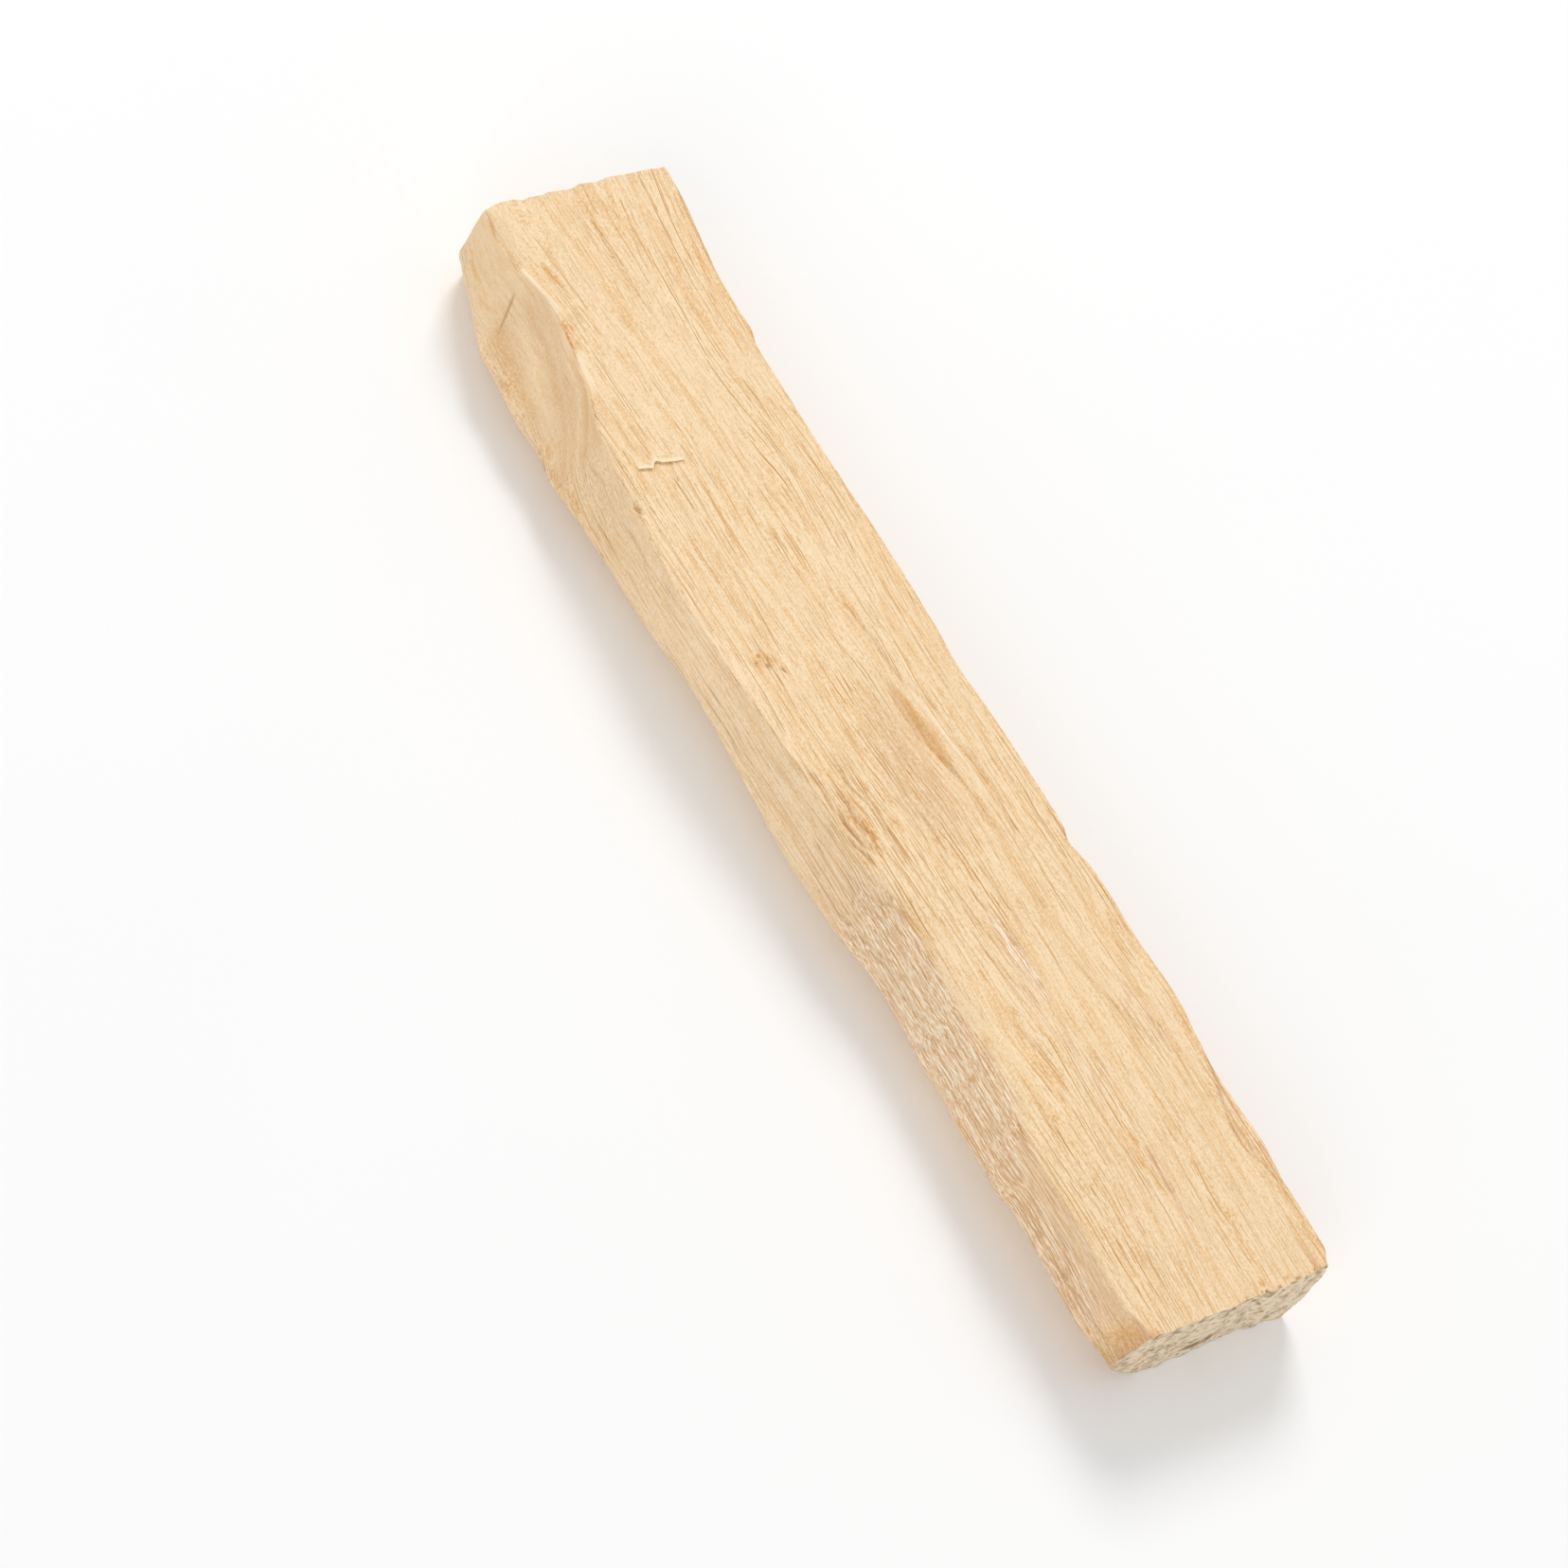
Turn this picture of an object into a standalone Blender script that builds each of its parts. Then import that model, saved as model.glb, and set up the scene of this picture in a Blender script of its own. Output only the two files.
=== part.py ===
"""Palo santo stick: a hand-split length of pale wood, sawn across at both ends, in one piece.

It lies on its flattest face. +X runs along the grain to the cleaner sawn end, +Z is up,
and the carved side faces -Y. Sizes are in millimetres; the finished mesh is in metres.
"""
import bmesh
import bpy
import numpy as np

NAME = "palo_santo_stick"
MM = 0.001

# Overall size and how finely the surface is divided
LENGTH = 109.0
THICKNESS = 9.4
ALONG = 104
ACROSS = 22
DEEP = 8

# Edges of the wide face: x, y
CARVED_EDGE = np.array([
    (-55.2, -5.7), (-51.5, -6.2), (-48.7, -5.9), (-47.4, -5.1), (-44.5, -4.7), (-42.0, -4.9),
    (-39.0, -5.5), (-36.6, -6.0), (-34.6, -6.7), (-32.9, -7.5), (-29.0, -7.7), (-24.4, -8.0),
    (-17.5, -8.6), (-12.0, -8.4), (-1.0, -7.6), (6.5, -7.0), (10.8, -6.7), (15.0, -5.6),
    (20.7, -5.8), (28.9, -6.3), (33.0, -6.6), (36.4, -7.2), (45.0, -7.1), (51.3, -7.3),
    (53.6, -6.6)])
PLAIN_EDGE = np.array([
    (-54.0, 11.2), (-50.5, 11.0), (-47.0, 10.5), (-42.0, 10.1), (-38.0, 10.1), (-36.0, 9.7),
    (-27.0, 9.8), (-17.0, 10.2), (-8.0, 10.3), (-3.5, 10.1), (3.0, 10.5), (11.0, 10.7),
    (12.8, 10.6), (14.0, 10.3), (16.0, 10.7), (18.0, 11.0), (23.0, 11.0), (29.0, 11.3),
    (35.0, 11.0), (43.0, 11.2), (47.5, 10.9), (52.8, 10.9), (54.6, 10.3)])

# Widest line of each side: x, y, z
CARVED_BELLY = np.array([
    (-55.0, -6.7, 5.0), (-52.4, -7.9, 4.8), (-49.2, -8.8, 4.4), (-46.5, -9.6, 4.1),
    (-44.6, -10.1, 4.0), (-42.7, -10.0, 3.9), (-38.5, -10.3, 3.8), (-35.5, -10.1, 3.7),
    (-32.0, -10.5, 3.6), (-27.5, -10.1, 3.6), (-22.0, -9.8, 3.7), (-17.5, -9.8, 3.8),
    (-11.0, -9.2, 4.0), (0.0, -9.5, 4.2), (7.6, -9.6, 4.3), (13.5, -9.4, 4.4),
    (17.5, -8.7, 4.4), (22.5, -8.5, 4.4), (25.5, -8.8, 4.5), (28.0, -8.6, 4.7),
    (32.0, -9.1, 4.8), (35.5, -9.1, 4.9), (37.5, -9.4, 5.0), (39.5, -9.0, 5.0),
    (45.0, -9.2, 5.1), (50.5, -9.5, 5.3), (53.6, -9.0, 5.3)])
PLAIN_BELLY = np.array([
    (-54.0, 11.0, 5.2), (-43.0, 10.7, 5.6), (-33.0, 10.3, 5.9), (-20.0, 10.9, 4.7),
    (-6.0, 11.3, 4.2), (4.0, 11.0, 4.8), (18.0, 11.5, 5.6), (30.0, 11.9, 6.0),
    (42.0, 11.6, 5.0), (54.6, 10.6, 4.8)])

# Edges of the face that it lies on: x, y
CARVED_FOOT = np.array([
    (-55.0, -5.2), (-50.0, -5.9), (-45.0, -7.3), (-38.0, -7.7), (-31.0, -6.6), (-22.0, -7.1),
    (-10.0, -5.9), (-3.0, -6.2), (5.0, -7.1), (18.0, -5.7), (26.0, -6.5), (33.0, -6.2),
    (42.0, -5.2), (54.0, -4.3)])
PLAIN_FOOT = np.array([
    (-54.0, 9.6), (-44.0, 9.3), (-36.0, 8.4), (-27.0, 8.9), (-15.0, 9.7), (-7.0, 9.3),
    (5.0, 9.9), (16.0, 10.4), (25.0, 9.6), (33.0, 9.3), (41.0, 10.2), (55.0, 9.5)])

# Ends: x at the middle, slant across and lean down the thickness
FAR_END = -54.3
FAR_SLANT = 0.108
FAR_LEAN = -0.06
FAR_TEETH = 0.35
TOOTH_WIDTH = 2.3
NEAR_END = 54.1
NEAR_SLANT = 0.07
NEAR_LEAN = -0.03

# Shallow scoops in the wide face: x, y, half length, half width, depth, turn from the grain
SCOOPS = np.array([
    (-52.0, 1.0, 7.0, 5.0, 0.22, 0.10),
    (-22.0, 4.5, 13.0, 3.5, 0.20, -0.05),
    (-12.0, -5.8, 9.0, 2.2, 0.22, 0.06),
    (23.0, 8.6, 6.5, 2.6, 0.42, 0.08),
    (37.5, 9.8, 8.5, 2.4, 0.45, -0.04),
    (33.0, -2.0, 9.0, 2.4, 0.26, 0.10),
    (46.0, 3.5, 7.5, 3.2, 0.24, -0.08)])

# Split ledges of the wide face: x0, y0, x1, y1 of the lip, fall, reach of the low side
LEDGES = np.array([
    (-46.5, -4.6, -29.3, -5.2, 0.42, 4.2),
    (-33.0, -3.0, -27.6, -2.3, 0.20, 3.0),
    (20.0, 4.2, 33.5, 7.8, 0.28, 3.4),
    (23.5, -2.9, 31.0, -1.2, 0.24, 3.0),
    (2.0, -3.6, 14.0, -4.4, 0.36, 2.6)])
LIP_WIDTH = 0.8
LEDGE_RISE = 4.5
LEDGE_STOP = 1.2

# Curved dent in the wide face: x and y of its steep wall, its depth and reach
DENT_WALL = np.array([
    (-7.0, 2.8), (-4.0, 3.5), (0.5, 5.0), (3.3, 5.6), (5.5, 4.9), (8.0, 4.7), (13.0, 5.2)])
DENT_DEPTH = 0.85
DENT_STEEP = 0.9
DENT_REACH = 6.5
DENT_START = (-7.0, 2.0)
DENT_END = (6.0, 13.0)

# Broken-out notch at the carved edge: x, y, half length, half width, depth
NOTCH = (-24.7, -8.1, 1.7, 1.0, 0.6)
NOTCH_FLOOR = 0.6
NOTCH_RIM = 1.1

# Knife scoop in the carved side: middle x, half length, depth
CARVE = (-41.0, 9.5, 0.75)

# Groove in the carved side under the wide face's edge, near the clean end
GROOVE_START = 35.0
GROOVE_FULL = 40.0
GROOVE_DEPTH = 0.35
GROOVE_HEIGHT = 0.34
GROOVE_WIDTH = 0.2

# Outward bow of each side below and above its widest line
LOWER_BOW = 0.45
UPPER_BOW = 0.25

# Hollows in the face it lies on: x, y, half length, half width, depth, turn from the grain
FOOT_HOLLOWS = np.array([
    (-49.0, -3.0, 9.0, 4.5, 0.55, 0.18),
    (-30.0, 7.5, 9.0, 3.0, 0.45, -0.08),
    (-14.0, -5.0, 12.0, 2.6, 0.50, 0.07),
    (-3.0, 9.0, 8.0, 2.6, 0.40, 0.05),
    (15.0, -5.0, 11.0, 2.8, 0.45, 0.05),
    (24.0, 7.0, 10.0, 2.4, 0.50, -0.10),
    (46.0, 8.5, 7.0, 3.8, 0.60, 0.12),
    (42.0, -3.0, 8.0, 2.6, 0.40, 0.06)])

# Fibre ridges: height, spacing across and run along the grain
RIDGE_HEIGHT = 0.09
RIDGE_SPACING = 1.7
RIDGE_RUN = 17.0
SWELL_HEIGHT = 0.16
SWELL_SPACING = 6.0
SWELL_RUN = 24.0
PLAIN_ROUGHNESS = 2.0
WIDE_SEED = 1.0
CARVED_SEED = 2.0
PLAIN_SEED = 4.0
TOOTH_SEED = 3.0

# Where the sides' ridges fade out, as shares of the height and of the length
EDGE_FADE_START = 0.8
END_FADE = 0.02

# Share of the box that still counts as its skin
SKIN = 0.001

WOOD_COLOUR = (0.86, 0.65, 0.39, 1.0)
WOOD_ROUGHNESS = 0.75


def clear():
    """Leave an empty file."""
    for item in list(bpy.data.objects):
        bpy.data.objects.remove(item, do_unlink=True)


def smooth_line(points, x, column=1):
    """Value at each x of a smooth line through the points that never overshoots them."""
    ends, values = points[:, 0], points[:, column]
    span = np.diff(ends)
    rise = np.diff(values) / span
    product = rise[:-1] * rise[1:]
    total = np.where(product > 0, rise[:-1] + rise[1:], 1.0)
    slope = np.zeros(len(ends))
    slope[1:-1] = np.where(product > 0, 2.0 * product / total, 0.0)
    at = np.clip(np.searchsorted(ends, x) - 1, 0, len(span) - 1)
    t = np.clip((x - ends[at]) / span[at], 0.0, 1.0)
    rest = 1.0 - t
    return (values[at] * rest * rest * (1.0 + 2.0 * t)
            + values[at + 1] * t * t * (3.0 - 2.0 * t)
            + slope[at] * span[at] * t * rest * rest
            - slope[at + 1] * span[at] * t * t * rest)


def hashed(column, row, seed):
    """Repeatable numbers from 0 to 1, one for each cell."""
    value = np.sin(column * 127.1 + row * 311.7 + seed * 74.7) * 43758.5453
    return value - np.floor(value)


def noise(x, y, seed):
    """Smooth noise from -1 to 1."""
    column, row = np.floor(x), np.floor(y)
    fx, fy = x - column, y - row
    fx = fx * fx * (3.0 - 2.0 * fx)
    fy = fy * fy * (3.0 - 2.0 * fy)
    low = hashed(column, row, seed) * (1.0 - fx) + hashed(column + 1, row, seed) * fx
    high = hashed(column, row + 1, seed) * (1.0 - fx) + hashed(column + 1, row + 1, seed) * fx
    return 2.0 * (low * (1.0 - fy) + high * fy) - 1.0


def mix(a, b, t):
    """Straight blend from a to b."""
    return a + (b - a) * t


def step(value, low, high):
    """Soft step from 0 at low to 1 at high."""
    t = np.clip((value - low) / (high - low), 0.0, 1.0)
    return t * t * (3.0 - 2.0 * t)


def wall(height, foot, belly, edge):
    """A side's y and z at each height from 0 at the foot, past 0.5 at the belly, to 1."""
    lower = np.clip(height * 2.0, 0.0, 1.0)
    upper = np.clip(height * 2.0 - 1.0, 0.0, 1.0)
    bow = 4.0 * (LOWER_BOW * lower * (1.0 - lower) + UPPER_BOW * upper * (1.0 - upper))
    y = mix(mix(foot[0], belly[0], lower), edge[0], upper) + bow * np.sign(belly[0])
    z = mix(mix(foot[1], belly[1], lower), edge[1], upper)
    return y, z


def section(x, across, height):
    """y and z in the cross-section at x, filled in between its two sides."""
    zero = np.zeros_like(x)
    top = np.full_like(x, THICKNESS)
    left_edge = (smooth_line(CARVED_EDGE, x), top)
    right_edge = (smooth_line(PLAIN_EDGE, x), top)
    left_foot = (smooth_line(CARVED_FOOT, x), zero)
    right_foot = (smooth_line(PLAIN_FOOT, x), zero)
    left_belly = (smooth_line(CARVED_BELLY, x), smooth_line(CARVED_BELLY, x, 2))
    right_belly = (smooth_line(PLAIN_BELLY, x), smooth_line(PLAIN_BELLY, x, 2))
    left = wall(height, left_foot, left_belly, left_edge)
    right = wall(height, right_foot, right_belly, right_edge)
    return mix(left[0], right[0], across), mix(left[1], right[1], across)


def far_end(y, z):
    """x of the rough end."""
    tooth = hashed(np.floor(y / TOOTH_WIDTH), np.floor(z / TOOTH_WIDTH), TOOTH_SEED) - 0.5
    return FAR_END + FAR_SLANT * y + FAR_LEAN * z + FAR_TEETH * tooth


def near_end(y, z):
    """x of the clean end."""
    return NEAR_END + NEAR_SLANT * y + NEAR_LEAN * z


def scooped(x, y, table):
    """Depth of a set of lens-shaped hollows."""
    depth = np.zeros_like(x)
    for middle_x, middle_y, half_length, half_width, deep, turn in table:
        along = (x - middle_x) * np.cos(turn) + (y - middle_y) * np.sin(turn)
        aside = (y - middle_y) * np.cos(turn) - (x - middle_x) * np.sin(turn)
        spread = (along / half_length) ** 2 + (aside / half_width) ** 2
        depth += deep * np.clip(1.0 - spread, 0.0, 1.0)
    return depth


def ledged(x, y):
    """Depth below the split ledges' lips."""
    depth = np.zeros_like(x)
    for x0, y0, x1, y1, fall, reach in LEDGES:
        run = np.clip((x - x0) / (x1 - x0), 0.0, 1.0)
        lip = mix(y0, y1, run)
        below = step(lip - y, 0.0, LIP_WIDTH) * (1.0 - step(lip - y, 0.5 * reach, reach))
        within = step(x, x0, x0 + LEDGE_RISE) * (1.0 - step(x, x1 - LEDGE_STOP, x1))
        depth += fall * below * within
    return depth


def dented(x, y):
    """Depth of the curved dent, steep at its wall and easing out towards -Y."""
    inward = smooth_line(DENT_WALL, x) - y
    profile = step(inward, 0.0, DENT_STEEP) * (1.0 - step(inward, DENT_STEEP, DENT_REACH))
    ends = step(x, *DENT_START) * (1.0 - step(x, *DENT_END))
    return DENT_DEPTH * profile * ends


def notched(x, y):
    """Depth of the broken-out notch."""
    middle_x, middle_y, half_length, half_width, deep = NOTCH
    inside = np.abs(x - middle_x) / half_length
    aside = np.abs(y - middle_y) / half_width
    return (deep * (1.0 - step(inside, NOTCH_FLOOR, NOTCH_RIM))
            * (1.0 - step(aside, NOTCH_FLOOR, NOTCH_RIM)))


def ridged(x, side, seed):
    """Height of the fibre ridges and the slow swells under them."""
    ridges = RIDGE_HEIGHT * noise(x / RIDGE_RUN, side / RIDGE_SPACING, seed)
    return ridges + SWELL_HEIGHT * noise(x / SWELL_RUN, side / SWELL_SPACING, seed + 9.0)


def shape(at):
    """Move the divided box's points, each coordinate from 0 to 1, onto the stick."""
    along, across, height = at.T
    x = mix(-0.5, 0.5, along) * LENGTH
    y, z = section(x, across, height)
    x = mix(far_end(y, z), near_end(y, z), along)
    inside = step(along, 0.0, END_FADE) * step(1.0 - along, 0.0, END_FADE)

    fall = scooped(x, y, SCOOPS) + ledged(x, y) + dented(x, y) + notched(x, y)
    drop = fall - ridged(x, y, WIDE_SEED)
    z = np.where(height > 1.0 - SKIN, z - np.maximum(drop, 0.0), z)

    carved = (across < SKIN) & (height > SKIN)
    middle, half, deep = CARVE
    bow = np.clip(1.0 - ((x - middle) / half) ** 2, 0.0, 1.0)
    upper = np.clip(height * 2.0 - 1.0, 0.0, 1.0)
    cut = deep * bow * 4.0 * upper * (1.0 - upper)
    groove = np.exp(-((upper - GROOVE_HEIGHT) / GROOVE_WIDTH) ** 2)
    cut = cut + GROOVE_DEPTH * step(x, GROOVE_START, GROOVE_FULL) * groove
    fade = inside * (1.0 - step(height, EDGE_FADE_START, 1.0))
    y = np.where(carved, y + cut + ridged(x, z, CARVED_SEED) * fade, y)

    plain = (across > 1.0 - SKIN) & (height > SKIN)
    y = np.where(plain, y + PLAIN_ROUGHNESS * ridged(x, z, PLAIN_SEED) * fade, y)

    z = np.where(height < SKIN, scooped(x, y, FOOT_HOLLOWS), z)
    return np.stack([x, y, z], axis=1)


def centred(points):
    """Points moved so that the middle of the base of their box is the origin."""
    low, high = points.min(axis=0), points.max(axis=0)
    return points - np.array([(low[0] + high[0]) / 2, (low[1] + high[1]) / 2, low[2]])


def divided_box():
    """A unit box cut into ALONG by ACROSS by DEEP cells on its surface."""
    box = bmesh.new()
    bmesh.ops.create_cube(box, size=1.0)
    for axis, count in enumerate((ALONG, ACROSS, DEEP)):
        edges = [edge for edge in box.edges
                 if abs(edge.verts[0].co[axis] - edge.verts[1].co[axis]) > 1e-6]
        bmesh.ops.subdivide_edges(box, edges=edges, cuts=count - 1, use_grid_fill=True)
    return box


def wood():
    """Pale, dry split wood."""
    material = bpy.data.materials.new("palo_santo_wood")
    material.use_nodes = True
    shader = material.node_tree.nodes["Principled BSDF"]
    shader.inputs["Base Color"].default_value = WOOD_COLOUR
    shader.inputs["Roughness"].default_value = WOOD_ROUGHNESS
    material.diffuse_color = WOOD_COLOUR
    return material


def stick():
    """The whole stick as one object in its own collection."""
    box = divided_box()
    at = np.array([vert.co for vert in box.verts]) + 0.5
    for vert, point in zip(box.verts, centred(shape(at))):
        vert.co = point * MM
    mesh = bpy.data.meshes.new(NAME)
    box.to_mesh(mesh)
    box.free()
    mesh.materials.append(wood())
    made = bpy.data.objects.new(NAME, mesh)
    group = bpy.data.collections.new(NAME)
    bpy.context.scene.collection.children.link(group)
    group.objects.link(made)
    return made


clear()
stick()
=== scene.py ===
"""Looks of a palo santo stick: one hand-split length of pale wood lying on its flattest face.

The stick is a box that is divided in edit mode and then carved, point by point, into split
ledges, fibre strips, slits and sawn or broken ends. Small torn pieces are modelled on it.
Sizes are in millimetres in the maker's own table frame and become metres when they are placed.
"""
import logging
import math
from collections.abc import Callable
from dataclasses import dataclass
from enum import Enum

import bmesh
import bpy
import numpy as np
from mathutils import Matrix, Vector


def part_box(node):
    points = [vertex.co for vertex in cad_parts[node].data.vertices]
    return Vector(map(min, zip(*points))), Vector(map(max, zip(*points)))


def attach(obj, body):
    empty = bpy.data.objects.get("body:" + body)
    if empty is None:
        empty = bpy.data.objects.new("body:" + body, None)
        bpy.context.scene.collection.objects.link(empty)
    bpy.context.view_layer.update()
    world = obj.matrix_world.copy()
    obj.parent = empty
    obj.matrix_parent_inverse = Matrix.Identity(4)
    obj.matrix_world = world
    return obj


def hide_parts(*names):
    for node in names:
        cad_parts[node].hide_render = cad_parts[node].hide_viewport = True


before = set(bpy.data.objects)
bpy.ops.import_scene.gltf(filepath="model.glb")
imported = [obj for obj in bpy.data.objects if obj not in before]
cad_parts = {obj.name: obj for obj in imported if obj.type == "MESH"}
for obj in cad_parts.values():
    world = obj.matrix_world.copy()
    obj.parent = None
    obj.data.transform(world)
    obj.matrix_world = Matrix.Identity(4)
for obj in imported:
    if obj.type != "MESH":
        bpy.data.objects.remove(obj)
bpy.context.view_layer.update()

MM = 0.001
Array = np.ndarray
Table = tuple[tuple[float, ...], ...]
Pair = tuple[float, float]
Point = tuple[float, float, float]
Colour = tuple[float, float, float, float]
Piece = bpy.types.Object
Material = bpy.types.Material
Node = bpy.types.Node
NodeTree = bpy.types.NodeTree
Socket = bpy.types.NodeSocket
Items = bpy.types.bpy_prop_collection

STICK_NODE = "palo_santo_stick"
TABLE_SHIFT = (0.37259, -0.61673)   # from the table frame to the CAD frame, in mm
SKIN = 0.001                        # share of the box that still counts as its skin
MASKS = ("groove", "amber", "tan", "silk", "sleek", "lined", "cream", "sheen_fleck", "scooped")
THROUGH = 400.0                     # length of an end pattern's cells along the grain

LOOSE_GRAIN = (0.0, 0.4, 0.0)       # how far a small piece's grain is out of line, in mm

log = logging.getLogger("palo_santo")


# ---------------------------------------------------------------- numbers


def smooth_line(table: Table, x: Array, column: int = 1) -> Array:
    """Read a smooth line that never overshoots its points.

    Args:
        table: rows of x and values, x rising.
        x: where to read it.
        column: which value of the rows.

    Returns:
        The value at each x.
    """
    points = np.array(table)
    ends, values = points[:, 0], points[:, column]
    span = np.diff(ends)
    rise = np.diff(values) / span
    product = rise[:-1] * rise[1:]
    total = np.where(product > 0, rise[:-1] + rise[1:], 1.0)
    slope = np.zeros(len(ends))
    slope[1:-1] = np.where(product > 0, 2.0 * product / total, 0.0)
    at = np.clip(np.searchsorted(ends, x) - 1, 0, len(span) - 1)
    t = np.clip((x - ends[at]) / span[at], 0.0, 1.0)
    rest = 1.0 - t
    return (values[at] * rest * rest * (1.0 + 2.0 * t)
            + values[at + 1] * t * t * (3.0 - 2.0 * t)
            + slope[at] * span[at] * t * rest * rest
            - slope[at + 1] * span[at] * t * t * rest)


def hashed(column: Array, row: Array, seed: float) -> Array:
    """Repeatable numbers from 0 to 1, one for each cell."""
    value = np.sin(column * 127.1 + row * 311.7 + seed * 74.7) * 43758.5453
    return value - np.floor(value)


def noise(x: Array, y: Array, seed: float) -> Array:
    """Smooth noise from -1 to 1, with cells one unit wide.

    Args:
        x: places along one axis.
        y: places along the other.
        seed: which of the endless patterns it is.

    Returns:
        The noise at each place.
    """
    column, row = np.floor(x), np.floor(y)
    fx, fy = x - column, y - row
    fx = fx * fx * (3.0 - 2.0 * fx)
    fy = fy * fy * (3.0 - 2.0 * fy)
    low, high = (hashed(column, row + i, seed) * (1.0 - fx)
                 + hashed(column + 1, row + i, seed) * fx for i in (0, 1))
    return 2.0 * (low * (1.0 - fy) + high * fy) - 1.0


def wave(x: Array, seed: float) -> Array:
    """Smooth noise from -1 to 1 along a line."""
    return noise(x, np.zeros_like(x), seed)


def mix(a: Array | float, b: Array | float, t: Array) -> Array:
    """Straight blend from a to b."""
    return a + (b - a) * t


def step(value: Array, low: Array | float, high: Array | float) -> Array:
    """Soft step from 0 at low to 1 at high."""
    t = np.clip((value - low) / (high - low), 0.0, 1.0)
    return t * t * (3.0 - 2.0 * t)


def band(value: Array, low: float, high: float, soft: float) -> Array:
    """1 between low and high, fading to 0 within soft outside them."""
    return step(value, low - soft, low) * (1.0 - step(value, high, high + soft))


def near_line(gap: Array, reach: Array | float) -> Array:
    """1 on a line, falling straight to 0 at a reach from it on both sides."""
    return np.clip(1.0 - np.abs(gap) / reach, 0.0, 1.0)


def lens(along: Array, aside: Array, half_length: float, half_width: float) -> Array:
    """A round hollow of depth 1, as a gouge cuts it, that ends at its half sizes."""
    return np.clip(1.0 - (along / half_length) ** 2 - (aside / half_width) ** 2, 0.0, 1.0)


def spot(x: Array, y: Array, px: float, py: float, half_x: float, half_y: float) -> Array:
    """A round hump of height 1 at px, py that ends softly at its half sizes."""
    return lens(x - px, y - py, half_x, half_y) ** 2


def cubic(t: Array) -> tuple[Array, ...]:
    """Weights of a smooth cubic blend of four neighbours at a share t between the middle two."""
    return ((1.0 - t) ** 3 / 6.0, (3.0 * t ** 3 - 6.0 * t ** 2 + 4.0) / 6.0,
            (-3.0 * t ** 3 + 3.0 * t ** 2 + 3.0 * t + 1.0) / 6.0, t ** 3 / 6.0)


def eased(t: Array, amount: float) -> Array:
    """Shift evenly spaced shares towards both ends of their range."""
    return t - amount * np.sin(2.0 * math.pi * t) / (2.0 * math.pi)


# ---------------------------------------------------------------- modelling helpers


class Side(Enum):
    """Sides of the divided box: the axis and the share at which each lies."""

    FAR = (0, 0.0)
    NEAR = (0, 1.0)
    CARVED = (1, 0.0)
    PLAIN = (1, 1.0)
    FOOT = (2, 0.0)
    WIDE = (2, 1.0)

    def holds(self, at: Array) -> Array:
        """Which of the box's shares lie on this side."""
        axis, end = self.value
        return np.abs(at[:, axis] - end) < SKIN


def only(piece: Piece) -> None:
    """Make a piece the only selected and the active object.

    Args:
        piece: the piece to select.
    """
    bpy.ops.object.select_all(action="DESELECT")
    piece.select_set(True)
    bpy.context.view_layer.objects.active = piece


def fresh(add: Callable, **settings: object) -> Piece:
    """Add a primitive while nothing else is selected.

    Args:
        add: the operator that adds it.
        settings: what the operator is given.

    Returns:
        The new object.
    """
    bpy.ops.object.select_all(action="DESELECT")
    add(**settings)
    return bpy.context.active_object


def rows_of(items: Items, name: str = "co") -> Array:
    """Read a vector of each vertex or face as rows of x, y and z.

    Args:
        items: the vertices or the faces of a mesh.
        name: which of their vectors is read.

    Returns:
        A row for each of them.
    """
    flat = np.zeros(len(items) * 3)
    items.foreach_get(name, flat)
    return flat.reshape(-1, 3)


def shares(piece: Piece) -> Array:
    """Each vertex's place in the piece's own box, from 0 to 1 along every axis.

    Args:
        piece: the piece to measure.

    Returns:
        A row of three shares for each vertex.
    """
    points = rows_of(piece.data.vertices)
    low, high = points.min(axis=0), points.max(axis=0)
    return (points - low) / (high - low)


def divide(piece: Piece, axis: int, cuts: int, side: Side | None = None) -> None:
    """Cut across every edge that runs along one axis.

    Args:
        piece: a box that is the only selected object.
        axis: the axis that the edges run along.
        cuts: how many cuts each edge gets.
        side: the one side whose edges are cut, or None for all of them.
    """
    at = shares(piece)
    on = np.ones(len(at), bool) if side is None else side.holds(at)
    bpy.ops.object.mode_set(mode="EDIT")
    bpy.ops.mesh.select_mode(type="EDGE")
    bpy.ops.mesh.select_all(action="DESELECT")
    mesh = bmesh.from_edit_mesh(piece.data)
    for edge in mesh.edges:
        a, b = edge.verts[0].index, edge.verts[1].index
        if abs(at[a, axis] - at[b, axis]) > SKIN and on[a] and on[b]:
            edge.select_set(True)
    bmesh.update_edit_mesh(piece.data)
    bpy.ops.mesh.subdivide(number_cuts=cuts)
    bpy.ops.object.mode_set(mode="OBJECT")


def place(piece: Piece, *points: Array) -> None:
    """Move a piece's vertices to x, y and z in the table frame, in millimetres.

    Args:
        piece: the piece to move.
        points: x, y and z of its vertices.
    """
    shifted = np.stack(points, axis=1) + np.array([*TABLE_SHIFT, 0.0])
    piece.data.vertices.foreach_set("co", (shifted * MM).ravel())
    piece.data.update()


def paint(piece: Piece, name: str, values: Array) -> None:
    """Store numbers or vectors on a piece's vertices for its materials to read.

    Args:
        piece: the piece to paint.
        name: what the materials call it.
        values: a number or a vector for each vertex.
    """
    kind, slot = ("FLOAT_VECTOR", "vector") if values.ndim == 2 else ("FLOAT", "value")
    layer = piece.data.attributes.new(name, kind, "POINT")
    layer.data.foreach_set(slot, values.astype(np.float32).ravel())


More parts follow.
